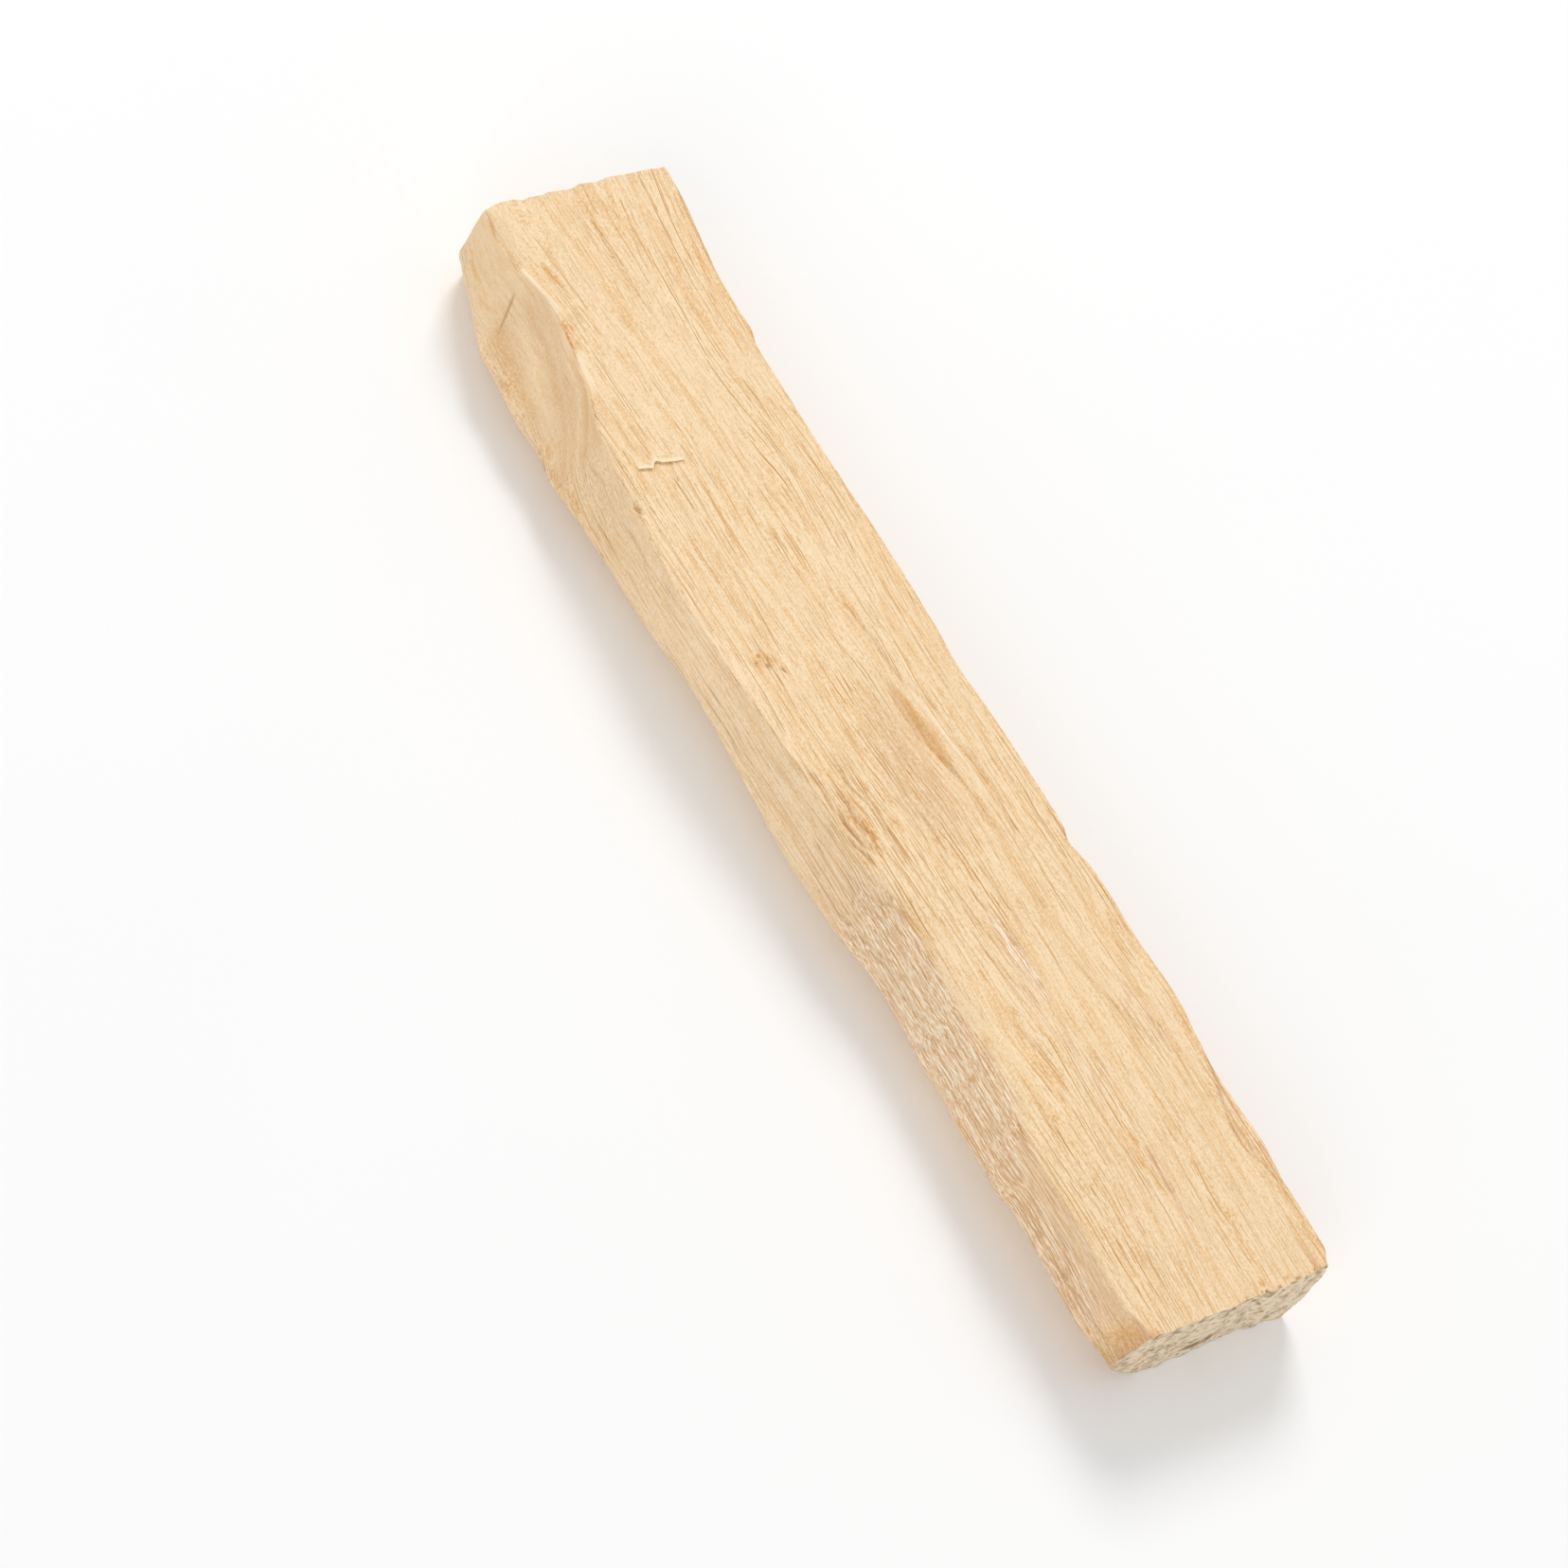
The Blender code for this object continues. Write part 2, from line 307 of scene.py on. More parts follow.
def paint_plain(piece: Piece, **masks: Array) -> None:
    """Paint a small piece with the grain of the place where it lies, and with few masks.

    Args:
        piece: the small piece.
        masks: the few masks that aren't empty.
    """
    points = rows_of(piece.data.vertices) / MM
    paint(piece, "grain", points + np.array(LOOSE_GRAIN))
    for name in MASKS:
        paint(piece, name, masks.get(name, np.zeros(len(points))))


def settle(piece: Piece, name: str, sharp: float) -> None:
    """Name a piece, put its origin at the frame's own, and shade it smooth between edges.

    Args:
        piece: the finished piece.
        name: what it is called.
        sharp: the angle in degrees past which an edge stays sharp.
    """
    piece.name = name
    piece.data.name = name
    only(piece)
    bpy.ops.object.transform_apply(location=True, rotation=True, scale=True)
    bpy.ops.object.shade_smooth_by_angle(angle=math.radians(sharp))


# ---------------------------------------------------------------- node helpers


class Graph:
    """A node tree that is being wired."""

    def __init__(self, tree: NodeTree) -> None:
        """Start on a tree, which is emptied."""
        self.tree = tree
        tree.nodes.clear()

    def node(self, kind: str, *values: object, **settings: object) -> Node:
        """Add a node, set its properties and feed its inputs in their order.

        Args:
            kind: the node's type.
            values: what its first inputs are fed.
            settings: its properties.

        Returns:
            The new node.
        """
        made = self.tree.nodes.new(kind)
        for name, value in settings.items():
            setattr(made, name, value)
        for socket, value in zip(made.inputs, values):
            self.feed(socket, value)
        return made

    def feed(self, socket: Socket, value: object) -> None:
        """Link an input to an output, or give it a constant.

        Args:
            socket: the input.
            value: an output, a number or a colour.
        """
        if isinstance(value, Socket):
            self.tree.links.new(value, socket)
        else:
            socket.default_value = value

    def named(self, made: Node, **inputs: object) -> Node:
        """Feed a node's inputs by their names, with _ for a space.

        Args:
            made: the node.
            inputs: what each named input is fed.

        Returns:
            The same node.
        """
        for name, value in inputs.items():
            self.feed(made.inputs[name.replace("_", " ")], value)
        return made

    def math(self, operation: str, *values: object) -> Socket:
        """Combine up to three numbers."""
        return self.node("ShaderNodeMath", *values, operation=operation).outputs[0]

    def times(self, a: object, b: object) -> Socket:
        """Multiply two numbers."""
        return self.math("MULTIPLY", a, b)

    def noise(self, vector: Socket, along: float, across: float, detail: float = 2.0,
              roughness: float = 0.5) -> Socket:
        """Noise with cells of a given length and width in the vector's units.

        Args:
            vector: the place along and across the grain.
            along: length of a cell.
            across: width of a cell.
            detail: how many finer layers it has.
            roughness: how strong they are.

        Returns:
            The noise, from 0 to 1.
        """
        made = self.named(self.node("ShaderNodeTexNoise"), Scale=1.0, Detail=detail,
                          Roughness=roughness, Vector=self.stretched(vector, along, across))
        return made.outputs["Fac"]

    def stretched(self, vector: Socket, along: float, across: float) -> Socket:
        """Divide a place by the length and the width that one cell of a pattern has."""
        scale = (1.0 / along, 1.0 / across, 1.0 / across)
        return self.node("ShaderNodeVectorMath", vector, scale, operation="MULTIPLY").outputs[0]

    def ranged(self, value: Socket, low: float, high: float, to_low: float = 0.0,
               to_high: float = 1.0) -> Socket:
        """Soft step of a value from one range to another."""
        return self.node("ShaderNodeMapRange", value, low, high, to_low, to_high,
                         interpolation_type="SMOOTHSTEP").outputs[0]

    def blend(self, factor: object, a: object, b: object, how: str = "MIX") -> Socket:
        """Blend two colours.

        Args:
            factor: share of the second colour.
            a: the first colour.
            b: the second colour.
            how: the way they mix.

        Returns:
            The mixed colour.
        """
        made = self.node("ShaderNodeMix", factor, data_type="RGBA", blend_type=how)
        self.feed(made.inputs[6], a)
        self.feed(made.inputs[7], b)
        return made.outputs[2]

    def between(self, share: Socket, here: Socket, there: object) -> Socket:
        """A number that goes from one value to another as the share goes from 0 to 1."""
        return self.math("MULTIPLY_ADD", self.math("SUBTRACT", there, here), share, here)

    def attribute(self, name: str, output: str = "Fac") -> Socket:
        """Read what was painted on the piece."""
        return self.node("ShaderNodeAttribute", attribute_name=name,
                         attribute_type="GEOMETRY").outputs[output]

    def group(self, tree: NodeTree, **inputs: object) -> Items:
        """Place a shared group with its own values and give its outputs."""
        return self.named(self.node("ShaderNodeGroup", node_tree=tree), **inputs).outputs

    def surface(self, colour: Socket, roughness: object, gloss: float,
                height: Socket | None = None) -> None:
        """Wire the shader and the material's output.

        Args:
            colour: the base colour.
            roughness: the roughness, a constant or an output.
            gloss: the specular level.
            height: the height in millimetres, or None on a flat surface.
        """
        shader = self.named(self.node("ShaderNodeBsdfPrincipled"), Base_Color=colour,
                            Roughness=roughness, Specular_IOR_Level=gloss)
        if height is not None:
            bump = self.named(self.node("ShaderNodeBump"), Strength=1.0, Distance=MM,
                              Height=height)
            self.feed(shader.inputs["Normal"], bump.outputs["Normal"])
        self.node("ShaderNodeOutputMaterial", shader.outputs["BSDF"])


def new_material(name: str) -> tuple[Material, Graph]:
    """Start a material and the graph of its nodes.

    Args:
        name: what the material is called.

    Returns:
        The material and its empty graph.
    """
    made = bpy.data.materials.new(name)
    made.use_nodes = True
    return made, Graph(made.node_tree)


def new_group(name: str, inputs: tuple[str, ...], outputs: tuple[str, ...]) \
        -> tuple[Graph, Items, Node]:
    """Start a shared group of shader nodes.

    Args:
        name: what the group is called.
        inputs: each input's name; the one called Grain is a vector.
        outputs: each output's name.

    Returns:
        The group's graph, what it is given, and its output node.
    """
    tree = bpy.data.node_groups.new(name, "ShaderNodeTree")
    for way, sockets in (("INPUT", inputs), ("OUTPUT", outputs)):
        for socket in sockets:
            kind = "NodeSocketVector" if socket == "Grain" else "NodeSocketFloat"
            tree.interface.new_socket(socket, in_out=way, socket_type=kind)
    graph = Graph(tree)
    return graph, graph.node("NodeGroupInput").outputs, graph.node("NodeGroupOutput")


# Light is a painted highlight along one edge of each thin line
FIBRE_VALUES = ("Tone", "Fine", "Line", "Light", "Warm", "Height")


@dataclass(frozen=True)
class LineSet:
    """Thin dark lines between fibres, which run along the grain, sway and stop.

    Sizes are in millimetres: the mean distance between lines, their width, how far they run
    before they sway and before they stop, and the depth of the groove that each one is. The
    noise that opens and closes them does so between two of its values.
    """

    spacing: float
    width: float
    run: float
    dash: float
    depth: float
    opening: Pair
    weight: float = 1.0
    sway: float = 1.2

    def wire(self, graph: Graph, grain: Socket) -> tuple[Socket, Socket, Socket]:
        """Wire the lines into a group.

        Args:
            graph: the group being wired.
            grain: the place along and across the grain.

        Returns:
            How dark the lines are, the painted highlight along their edges, and their height.
        """
        parts = graph.node("ShaderNodeSeparateXYZ", grain).outputs
        warp = graph.noise(grain, self.run, 3.4 * self.spacing, 2.0, 0.55)
        phase = graph.math("MULTIPLY_ADD", parts["Y"], 1.0 / self.spacing,
                           graph.times(parts["Z"], 0.8 / self.spacing))
        rest = graph.math("FRACT", graph.math("MULTIPLY_ADD", warp, self.sway, phase))
        gate = graph.ranged(graph.noise(grain, self.dash, 0.8 * self.spacing, 2.0, 0.6),
                            *self.opening)
        share = self.width / self.spacing
        foot = graph.times(gate, graph.ranged(rest, 0.45 * share, share, 1.0, 0.0))
        # painted highlight along the line's other edge
        edge = graph.times(gate, graph.ranged(rest, 1.0 - share, 1.0))
        return (graph.times(foot, self.weight), graph.times(edge, self.weight),
                graph.times(foot, -self.depth))


FIBRE_LINES = (LineSet(0.95, 0.09, 14.0, 7.5, 0.008, (0.49, 0.60)),
               LineSet(0.47, 0.075, 10.0, 4.2, 0.006, (0.47, 0.60)),
               LineSet(0.28, 0.065, 6.0, 2.1, 0.004, (0.47, 0.62), weight=0.85))


def fibre_group() -> NodeTree:
    """Fibres along the grain: light and dark streaks, thin lines with painted highlights beside
    them, and their height in mm.

    Returns:
        The group, which turns a grain place into six values.
    """
    graph, given, made = new_group("wood_fibres", ("Grain",), FIBRE_VALUES)
    grain = given["Grain"]
    # Noises: the length and width of a cell, detail and roughness
    broad, strand, grit, warm = (graph.noise(grain, *sizes) for sizes in (
        (16.0, 1.5, 2.0, 0.55), (3.4, 0.12, 2.0, 0.6), (0.26, 0.13, 2.0, 0.75),
        (9.0, 0.62, 3.0, 0.6)))
    fine = graph.math("MULTIPLY_ADD", strand, 0.36, graph.times(grit, 0.64))
    height = graph.math("MULTIPLY_ADD", strand, 0.006, graph.times(grit, 0.022))
    # light gathers the lines' painted highlights
    line, light = 0.0, 0.0
    for lines in FIBRE_LINES:
        dark, edge, relief = lines.wire(graph, grain)
        line = graph.math("MAXIMUM", line, dark)
        light = graph.math("MAXIMUM", light, edge)
        height = graph.math("ADD", height, relief)
    graph.named(made, Tone=broad, Fine=fine, Line=line, Light=light, Warm=warm, Height=height)
    return graph.tree


def pore_group() -> NodeTree:
    """Cut vessels of the end grain, in rows: how dark each place is and its height in mm.

    Returns:
        The group, which turns a grain place into a pore and its height.
    """
    graph, given, made = new_group("end_pores", ("Grain", "Share"), ("Pore", "Height"))
    grain = given["Grain"]
    cells = graph.named(graph.node("ShaderNodeTexVoronoi", feature="F1"), Scale=1.0,
                        Vector=graph.stretched(grain, THROUGH, 0.60))
    size = graph.ranged(cells.outputs["Distance"], 0.12, 0.44, 1.0, 0.0)
    rows = graph.noise(grain, THROUGH, 0.9, 1.0)
    kept = graph.ranged(graph.math("ADD", rows, graph.times(given["Share"], 0.3)), 0.56, 0.66)
    pore = graph.times(size, kept)
    grit = graph.noise(grain, THROUGH, 0.16, 2.0, 0.65)
    height = graph.math("MULTIPLY_ADD", pore, -0.05, graph.times(grit, 0.04))
    graph.named(made, Pore=pore, Height=height)
    return graph.tree


# ---------------------------------------------------------------- finishes


@dataclass(frozen=True)
class SplitWood:
    """Dry split wood: its colours are linear, its reliefs in millimetres."""

    name: str = "split_wood"
    pale: Colour = (0.920, 0.697, 0.434, 1.0)
    warm: Colour = (0.875, 0.585, 0.300, 1.0)
    # orange stains, and painted shade in slits, creases, at lips' feet and on the dent's wall
    amber: Colour = (0.800, 0.450, 0.165, 1.0)
    tan: Colour = (0.80, 0.56, 0.335, 1.0)
    line: Colour = (0.58, 0.28, 0.06, 1.0)
    # light fibres, and painted highlights beside lines, on ridges and on lips
    light: Colour = (1.0, 0.83, 0.60, 1.0)
    shade: Colour = (0.76, 0.63, 0.45, 1.0)
    # painted shade in slits, creases, cracks and holes, and real dark marks
    brown: Colour = (0.30, 0.145, 0.05, 1.0)
    mauve: Colour = (0.93, 0.60, 0.33, 1.0)
    # painted sheen and glints of the silky fibres
    sheen: Colour = (1.0, 0.89, 0.70, 1.0)
    shadow: Colour = (0.56, 0.32, 0.155, 1.0)
    roughness: float = 0.68
    gloss: float = 0.35

    def material(self, fibres: NodeTree) -> Material:
        """Build the material.

        Args:
            fibres: the shared group of fibres.

        Returns:
            A material that reads the grain and the masks painted on the piece.
        """
        made, graph = new_material(self.name)
        grain, figured = (graph.attribute(name, "Vector") for name in ("grain", "figured"))
        mask = {name: graph.attribute(name) for name in MASKS}
        silk, sleek = mask["silk"], mask["sleek"]
        here, there = (graph.group(fibres, Grain=at) for at in (grain, figured))
        wood = {name: graph.between(mask["scooped"], here[name], there[name])
                for name in FIBRE_VALUES}
        streak = graph.noise(grain, 5.5, 0.12, 3.0, 0.72)
        speck = graph.noise(grain, 0.85, 0.10, 2.0, 0.75)
        speckled = graph.between(sleek, graph.ranged(wood["Fine"], 0.60, 0.40, 0.45, 1.2), 0.8)
        calm = graph.math("SUBTRACT", 1.0, graph.times(sleek, 0.75))
        lined = graph.times(calm, mask["lined"])
        fine = graph.times(graph.ranged(wood["Fine"], 0.50, 0.36, 0.0, 0.70), calm)
        sheen_fleck = graph.times(graph.ranged(speck, 0.53, 0.62), mask["sheen_fleck"])

        def silky(value: Socket, low: float, high: float) -> Socket:
            """Where a value passes from low to high on the silky run."""
            return graph.times(graph.ranged(value, low, high), silk)

        # Coats over the pale wood: where each lies, how strong it is, its colour and how it mixes
        colour: Socket | Colour = self.pale
        for amount, strength, tint, how in (
                (graph.ranged(wood["Warm"], 0.48, 0.63), 0.85, self.warm, "MIX"),
                # tan: the carved side's tint, and painted shade in the hollow beside the dent
                (mask["tan"], 1.0, self.tan, "MIX"),
                (silk, 0.8, self.mauve, "MIX"),
                # stains, and painted shade in hollows and under the flake's lip
                (graph.times(mask["amber"], speckled), 1.0, self.amber, "MIX"),
                (graph.math("MAXIMUM", graph.ranged(wood["Tone"], 0.52, 0.38, 0.0, 0.06), fine),
                 1.0, self.shade, "MULTIPLY"),
                (graph.times(graph.ranged(wood["Fine"], 0.50, 0.64), calm), 0.60,
                 self.light, "MIX"),
                (silky(wood["Warm"], 0.50, 0.36), 0.36, self.shadow, "MIX"),
                (silky(streak, 0.50, 0.39), 0.85, self.shadow, "MIX"),
                # painted sheen along the silky fibres
                (silky(streak, 0.50, 0.59), 0.95, self.sheen, "MIX"),
                (silky(speck, 0.49, 0.40), 0.42, self.shadow, "MIX"),
                # painted glints of single silky fibres
                (sheen_fleck, 0.9, self.sheen, "MIX"),
                # painted highlight beside each thin line
                (graph.times(wood["Light"], lined), 0.6, self.light, "MIX"),
                (graph.times(wood["Line"], lined), 1.45, self.line, "MIX"),
                # painted highlights on ridges, crests and lips, and pale chips
                (mask["cream"], 1.0, self.light, "MIX"),
                # painted shade in slits, creases, cracks and holes, and real dark marks
                (mask["groove"], 1.0, self.brown, "MIX")):
            colour = graph.blend(graph.times(amount, strength), colour, tint, how)

        rough = graph.math("MULTIPLY_ADD", sheen_fleck, -0.25, self.roughness)
        high = graph.math("SUBTRACT", 1.0, graph.times(sleek, 0.5))
        graph.surface(colour, rough, self.gloss, graph.times(wood["Height"], high))
        return made


@dataclass(frozen=True)
class EndGrain:
    """Wood cut across: a greyish ground with rows of dark pores."""

    name: str = "sawn_end"
    ground: Colour = (0.57, 0.42, 0.26, 1.0)
    pale: Colour = (0.87, 0.725, 0.53, 1.0)
    pore: Colour = (0.235, 0.13, 0.055, 1.0)
    share: float = 0.45
    roughness: float = 0.85
    gloss: float = 0.2

    def material(self, pores: NodeTree) -> Material:
        """Build the material.

        Args:
            pores: the shared group of cut vessels.

        Returns:
            A material that reads the grain painted on the piece.
        """
        made, graph = new_material(self.name)
        grain = graph.attribute("grain", "Vector")
        holes = graph.group(pores, Grain=grain, Share=self.share)
        cloud = graph.noise(grain, THROUGH, 1.1, 4.0, 0.7)
        colour = graph.blend(graph.ranged(cloud, 0.34, 0.56), self.ground, self.pale)
        colour = graph.blend(graph.times(holes["Pore"], 0.60), colour, self.pore)
        colour = graph.blend(graph.attribute("groove"), colour, self.pore)
        graph.surface(colour, self.roughness, self.gloss, holes["Height"])
        return made


BROKEN_END = EndGrain(name="broken_end", ground=(0.72, 0.52, 0.31, 1.0),
                      pore=(0.40, 0.25, 0.12, 1.0), pale=(0.88, 0.68, 0.43, 1.0), share=0.40)


# ---------------------------------------------------------------- the stick


@dataclass
class Points:
    """The stick's vertices while they are carved, in millimetres in the table frame."""

    at: Array        # place in the divided box, from 0 to 1 along every axis
    height: Array    # share of the way up a side, which is 0.5 at its belly
    x: Array
    y: Array
    z: Array
    near_x: Array    # x of the sawn end at each y and z
    bent: Array      # place across the grain
    rise: Array      # place up the sides, which sways along them
    slope: Array     # the same on the knife scoop, where the wood's figure falls along x
    edge_in: Array   # distance inside the wide face's carved edge
    edge_out: Array  # distance inside its plain edge
    fade: Array      # 1 on the sides, 0 at both ends and at the wide face

    def __post_init__(self) -> None:
        """Find the sides that each vertex lies on, and start without marks."""
        (self.far, self.near, self.carved, self.plain, self.foot,
         self.wide) = (side.holds(self.at) for side in Side)
        self.flank = self.carved & ~self.wide
        self.upper = np.clip(self.height * 2.0 - 1.0, 0.0, 1.0)
        self.level = self.z     # stays as it is when the wide face is carved
        self.masks = {name: np.zeros(len(self.x)) for name in MASKS}

    def mark(self, name: str, values: Array, where: Array | bool = True) -> None:
        """Raise a mask to values, where they are higher than what it has."""
        self.masks[name] = np.maximum(self.masks[name], np.where(where, values, 0.0))


@dataclass
class SplitStick:
    """The whole stick, with every size in millimetres in the table frame."""

    length: float = 109.0
    thickness: float = 9.4
    core_width: float = 18.0     # the ends' width, for how far a point is from their rim
    sharp: float = 50.0          # degrees past which an edge stays sharp
    crowd_edges: float = 0.3     # how strongly the cuts crowd towards the long edges

    # Cuts that divide the box: axis, number, and the one side that gets them
    cuts: tuple[tuple[int, int, Side | None], ...] = (
        (0, 15, None), (0, 15, None), (1, 69, None), (2, 35, None),
        (1, 1, Side.WIDE), (2, 1, Side.CARVED), (1, 1, Side.NEAR), (2, 1, Side.NEAR))

    # Where the ends' materials go: how far from an end, and how much a face tilts along x
    end_band: float = 1.8
    sawn_tilt: float = 0.5
    broken_tilt: float = 0.35

    # How far apart the stations along the stick are: x, spacing
    stations: Table = (
        (-54.5, 0.14), (-53.4, 0.16), (-52.6, 0.55), (-48.7, 0.55), (-48.2, 0.14), (-46.1, 0.14),
        (-45.6, 0.5), (-31.5, 0.55), (-30.6, 0.22), (-28, 0.18), (-27.3, 0.28), (-24.6, 0.28),
        (-23.8, 0.52), (-11.2, 0.52), (-10.7, 0.17), (-8, 0.17), (-7.6, 0.42), (10, 0.45),
        (15, 0.6), (24.1, 0.6), (24.5, 0.17), (25.1, 0.17), (25.5, 0.6), (52, 0.6), (53.2, 0.2),
        (54.5, 0.14))

    # Edges of the wide face: x, y
    carved_edge: Table = (
        (-55.2, -5.7), (-51.5, -6.1), (-49, -6), (-47.4, -5.65), (-46, -5.3), (-44.5, -5.1),
        (-43.5, -5.1), (-42, -5.25), (-40.5, -5.55), (-38.5, -5.9), (-37, -6.1), (-35.5, -6.55),
        (-34, -7), (-32, -7.45), (-29, -7.7), (-24.4, -8), (-17.5, -8.6), (-12, -8.4), (-1, -7.6),
        (6.5, -7), (10.8, -6.7), (15, -5.6), (20.7, -5.8), (28.9, -6.3), (33, -6.6), (36.4, -7.2),
        (45, -7.1), (51.3, -7.3), (53.6, -6.6))
    plain_edge: Table = (
        (-54, 11.2), (-50.5, 11), (-47, 10.5), (-42, 10.1), (-38, 10.1), (-36, 9.7), (-27, 9.8),
        (-17, 10.2), (-8, 10.3), (-3.5, 10.1), (3, 10.5), (11, 10.7), (12.8, 10.6), (14, 10.3),
        (16, 10.7), (18, 11), (23, 11), (29, 11.3), (35, 11), (43, 11.2), (47.5, 10.9),
        (52.8, 10.9), (54.6, 10.3))

    # Widest line of each side: x, y, z
    carved_belly: Table = (
        (-55, -6.7, 5), (-52.4, -7.9, 4.8), (-49.2, -8.8, 4.4), (-46.5, -9.6, 4.1),
        (-44.6, -10.1, 4), (-42.7, -10, 3.9), (-38.5, -10.3, 3.8), (-35.5, -10.1, 3.7),
        (-32, -10.5, 3.6), (-27.5, -10.1, 3.6), (-22, -9.8, 3.7), (-17.5, -9.8, 3.8),
        (-11, -9.2, 4), (0, -9.5, 4.2), (7.6, -9.6, 4.3), (13.5, -9.4, 4.4), (17.5, -8.7, 4.4),
        (22.5, -8.5, 4.4), (25.5, -8.8, 4.5), (28, -8.6, 4.7), (32, -9.1, 4.8), (35.5, -9.1, 4.9),
        (37.5, -9.4, 5), (39.5, -9, 5), (45, -9.2, 5.1), (50.5, -9.5, 5.3), (53.6, -9, 5.3))
    plain_belly: Table = (
        (-54, 11, 5.2), (-43, 10.7, 5.6), (-33, 10.3, 5.9), (-20, 10.9, 4.7), (-6, 11.3, 4.2),
        (4, 11, 4.8), (18, 11.5, 5.6), (30, 11.9, 6), (42, 11.6, 5), (54.6, 10.6, 4.8))

    # Edges of the face that it lies on: x, y
    carved_foot: Table = (
        (-55, -5.2), (-50, -5.9), (-45, -7.3), (-38, -7.7), (-31, -6.6), (-22, -7.1), (-10, -5.9),
        (-3, -6.2), (5, -7.1), (18, -5.7), (26, -6.5), (33, -6.2), (42, -5.2), (54, -4.3))
    plain_foot: Table = (
        (-54, 9.6), (-44, 9.3), (-36, 8.4), (-27, 8.9), (-15, 9.7), (-7, 9.3), (5, 9.9),
        (16, 10.4), (25, 9.6), (33, 9.3), (41, 10.2), (55, 9.5))

    # Ends: x at the middle, slant across and lean down the thickness
    far_end: Point = (-54.3, 0.108, -0.06)
    near_end: Point = (54.1, 0.07, -0.03)

    # How far the far end's upper edge stands off that plane: y, x
    far_edge: Table = (
        (-5.7, 0.16), (-4.7, -0.07), (-3.9, -0.17), (-3.2, -0.17), (-2.7, -0.12), (-2.2, 0.1),
        (-1.5, -0.09), (-0.2, -0.05), (0.3, -0.17), (1.8, -0.03), (2.3, 0.02), (3.3, -0.21),
        (4.8, -0.01), (5.8, -0.14), (8.3, 0.01), (9.3, -0.02), (10.8, 0.1))
    # How far its lower corner on the carved side is broken back
    far_chip: float = 0.75

    # How far the near end's upper and lower edges stand off its plane: y, x
    near_edge: Table = (
        (-6.4, 0.2), (-3, 0.3), (-1, 0.25), (0.9, 0.28), (1.8, 0.27), (2.3, 0.2), (4, 0.25),
        (4.3, -0.02), (4.7, 0.38), (6.3, 0.34), (6.6, 0.18), (7.5, 0.26), (8.8, 0.16), (10.4, 0))
    near_foot: Table = (
        (-4.3, 0.09), (-2.8, 0.17), (-1.3, 0.02), (0.2, 0.02), (1.7, -0.06), (3, -0.04),
        (4.5, -0.1), (5.5, -0.12), (6.9, 0.08), (8.4, 0.1), (9.9, 0.12))

    # Shallow scoops in the wide face: x, y, half length, half width, depth, turn
    scoops: Table = (
        (-52, 1, 7, 5, 0.22, 0.1), (-22, 4.5, 13, 3.5, 0.2, -0.05),
        (-12, -5.8, 9, 2.2, 0.22, 0.06), (23, 8.6, 6.5, 2.6, 0.42, 0.08),
        (37.5, 9.8, 8.5, 2.4, 0.45, -0.04), (33, -2, 9, 2.4, 0.26, 0.1),
        (46, 3.5, 7.5, 3.2, 0.24, -0.08))

    # Split ledges of the wide face: x0, y0, x1, y1 of the lip, fall, reach of the low side.
    # The lips come up over the rise and stop over the stop.
    ledges: Table = (
        (-37, -5.3, -29.3, -5, 0.14, 2.6), (-32, -4.3, -29, -3.8, 0.1, 2.4),
        (20, 4.2, 33.5, 7.8, 0.18, 3.4), (23.5, -2.9, 31, -1.2, 0.14, 3),
        (2, -3, 12, -3.2, 0.14, 1.6), (1, -4.6, 10, -4.9, 0.18, 1.2))
    # Finer ledges, with the same rows
    small_ledges: Table = (
        (-54, 2.7, -38.1, 3, 0.05, 2.2), (-47.6, 6.6, -37, 6.8, 0.04, 1.8),
        (-34.1, -6.8, -21.7, -6.7, 0.09, 1), (-11.2, 4.4, 0.5, 5.7, 0.08, 1.4),
        (4.6, 5.4, 11.1, 6.6, 0.06, 1.2), (6.8, 4.8, 11.8, 5.4, 0.14, 1.6),
        (12, -1, 27, 0.6, 0.04, 1.8), (34, 2, 50, 2.4, 0.04, 2), (36, -4.4, 52, -4.6, 0.04, 1.6),
        (-20, 0.5, -9, 1.4, 0.04, 1.6))
    ledge_rise: float = 4.5
    ledge_stop: float = 1.2
    lip_width: float = 0.32
    lip_foot: float = 0.3

    # Curved dent in the wide face: its upper and lower lines, then depth and reach
    dent_upper: Table = (
        (-7, 3.2), (-4.1, 3.95), (-2.7, 4.35), (-0.9, 4.7), (1, 5.1), (2.4, 5.2), (3.6, 5),
        (5, 4.85), (7, 4.95), (10, 5), (13, 5.2))
    dent_lower: Table = (
        (-7, 2.9), (-4.1, 3.5), (-2.2, 3.6), (-0.4, 3.75), (1.5, 4.05), (3.2, 4.3), (4.5, 4.4),
        (7, 4.5), (10, 4.6), (13, 4.8))
    # Ridge beside the dent, which gets a painted highlight: x, y
    dent_ridge: Table = (
        (-6, 4.6), (-3.3, 5), (-0.9, 5.3), (1, 5.55), (2.3, 5.65), (3.5, 5.8), (4.9, 6), (6.8, 6),
        (9, 6.1))
    ridge_size: Pair = (0.32, 0.16)     # its half width and height
    dent_depth: float = 0.85
    dent_reach: float = 6.5
    least_wall: float = 0.25
    dent_start: Pair = (-7.0, 1.0)
    dent_end: Pair = (1.5, 9.5)
    # Where its ridge and its smooth wall are seen: first x, last x, how softly they end
    ridge_run: Point = (-2.0, 7.0, 2.0)
    wall_run: Point = (-3.0, 4.0, 1.2)

    # Broken-out notch at the carved edge: x, y, half length, half width, depth
    notch: tuple[float, ...] = (-25.7, -7.95, 0.75, 0.4, 0.32)
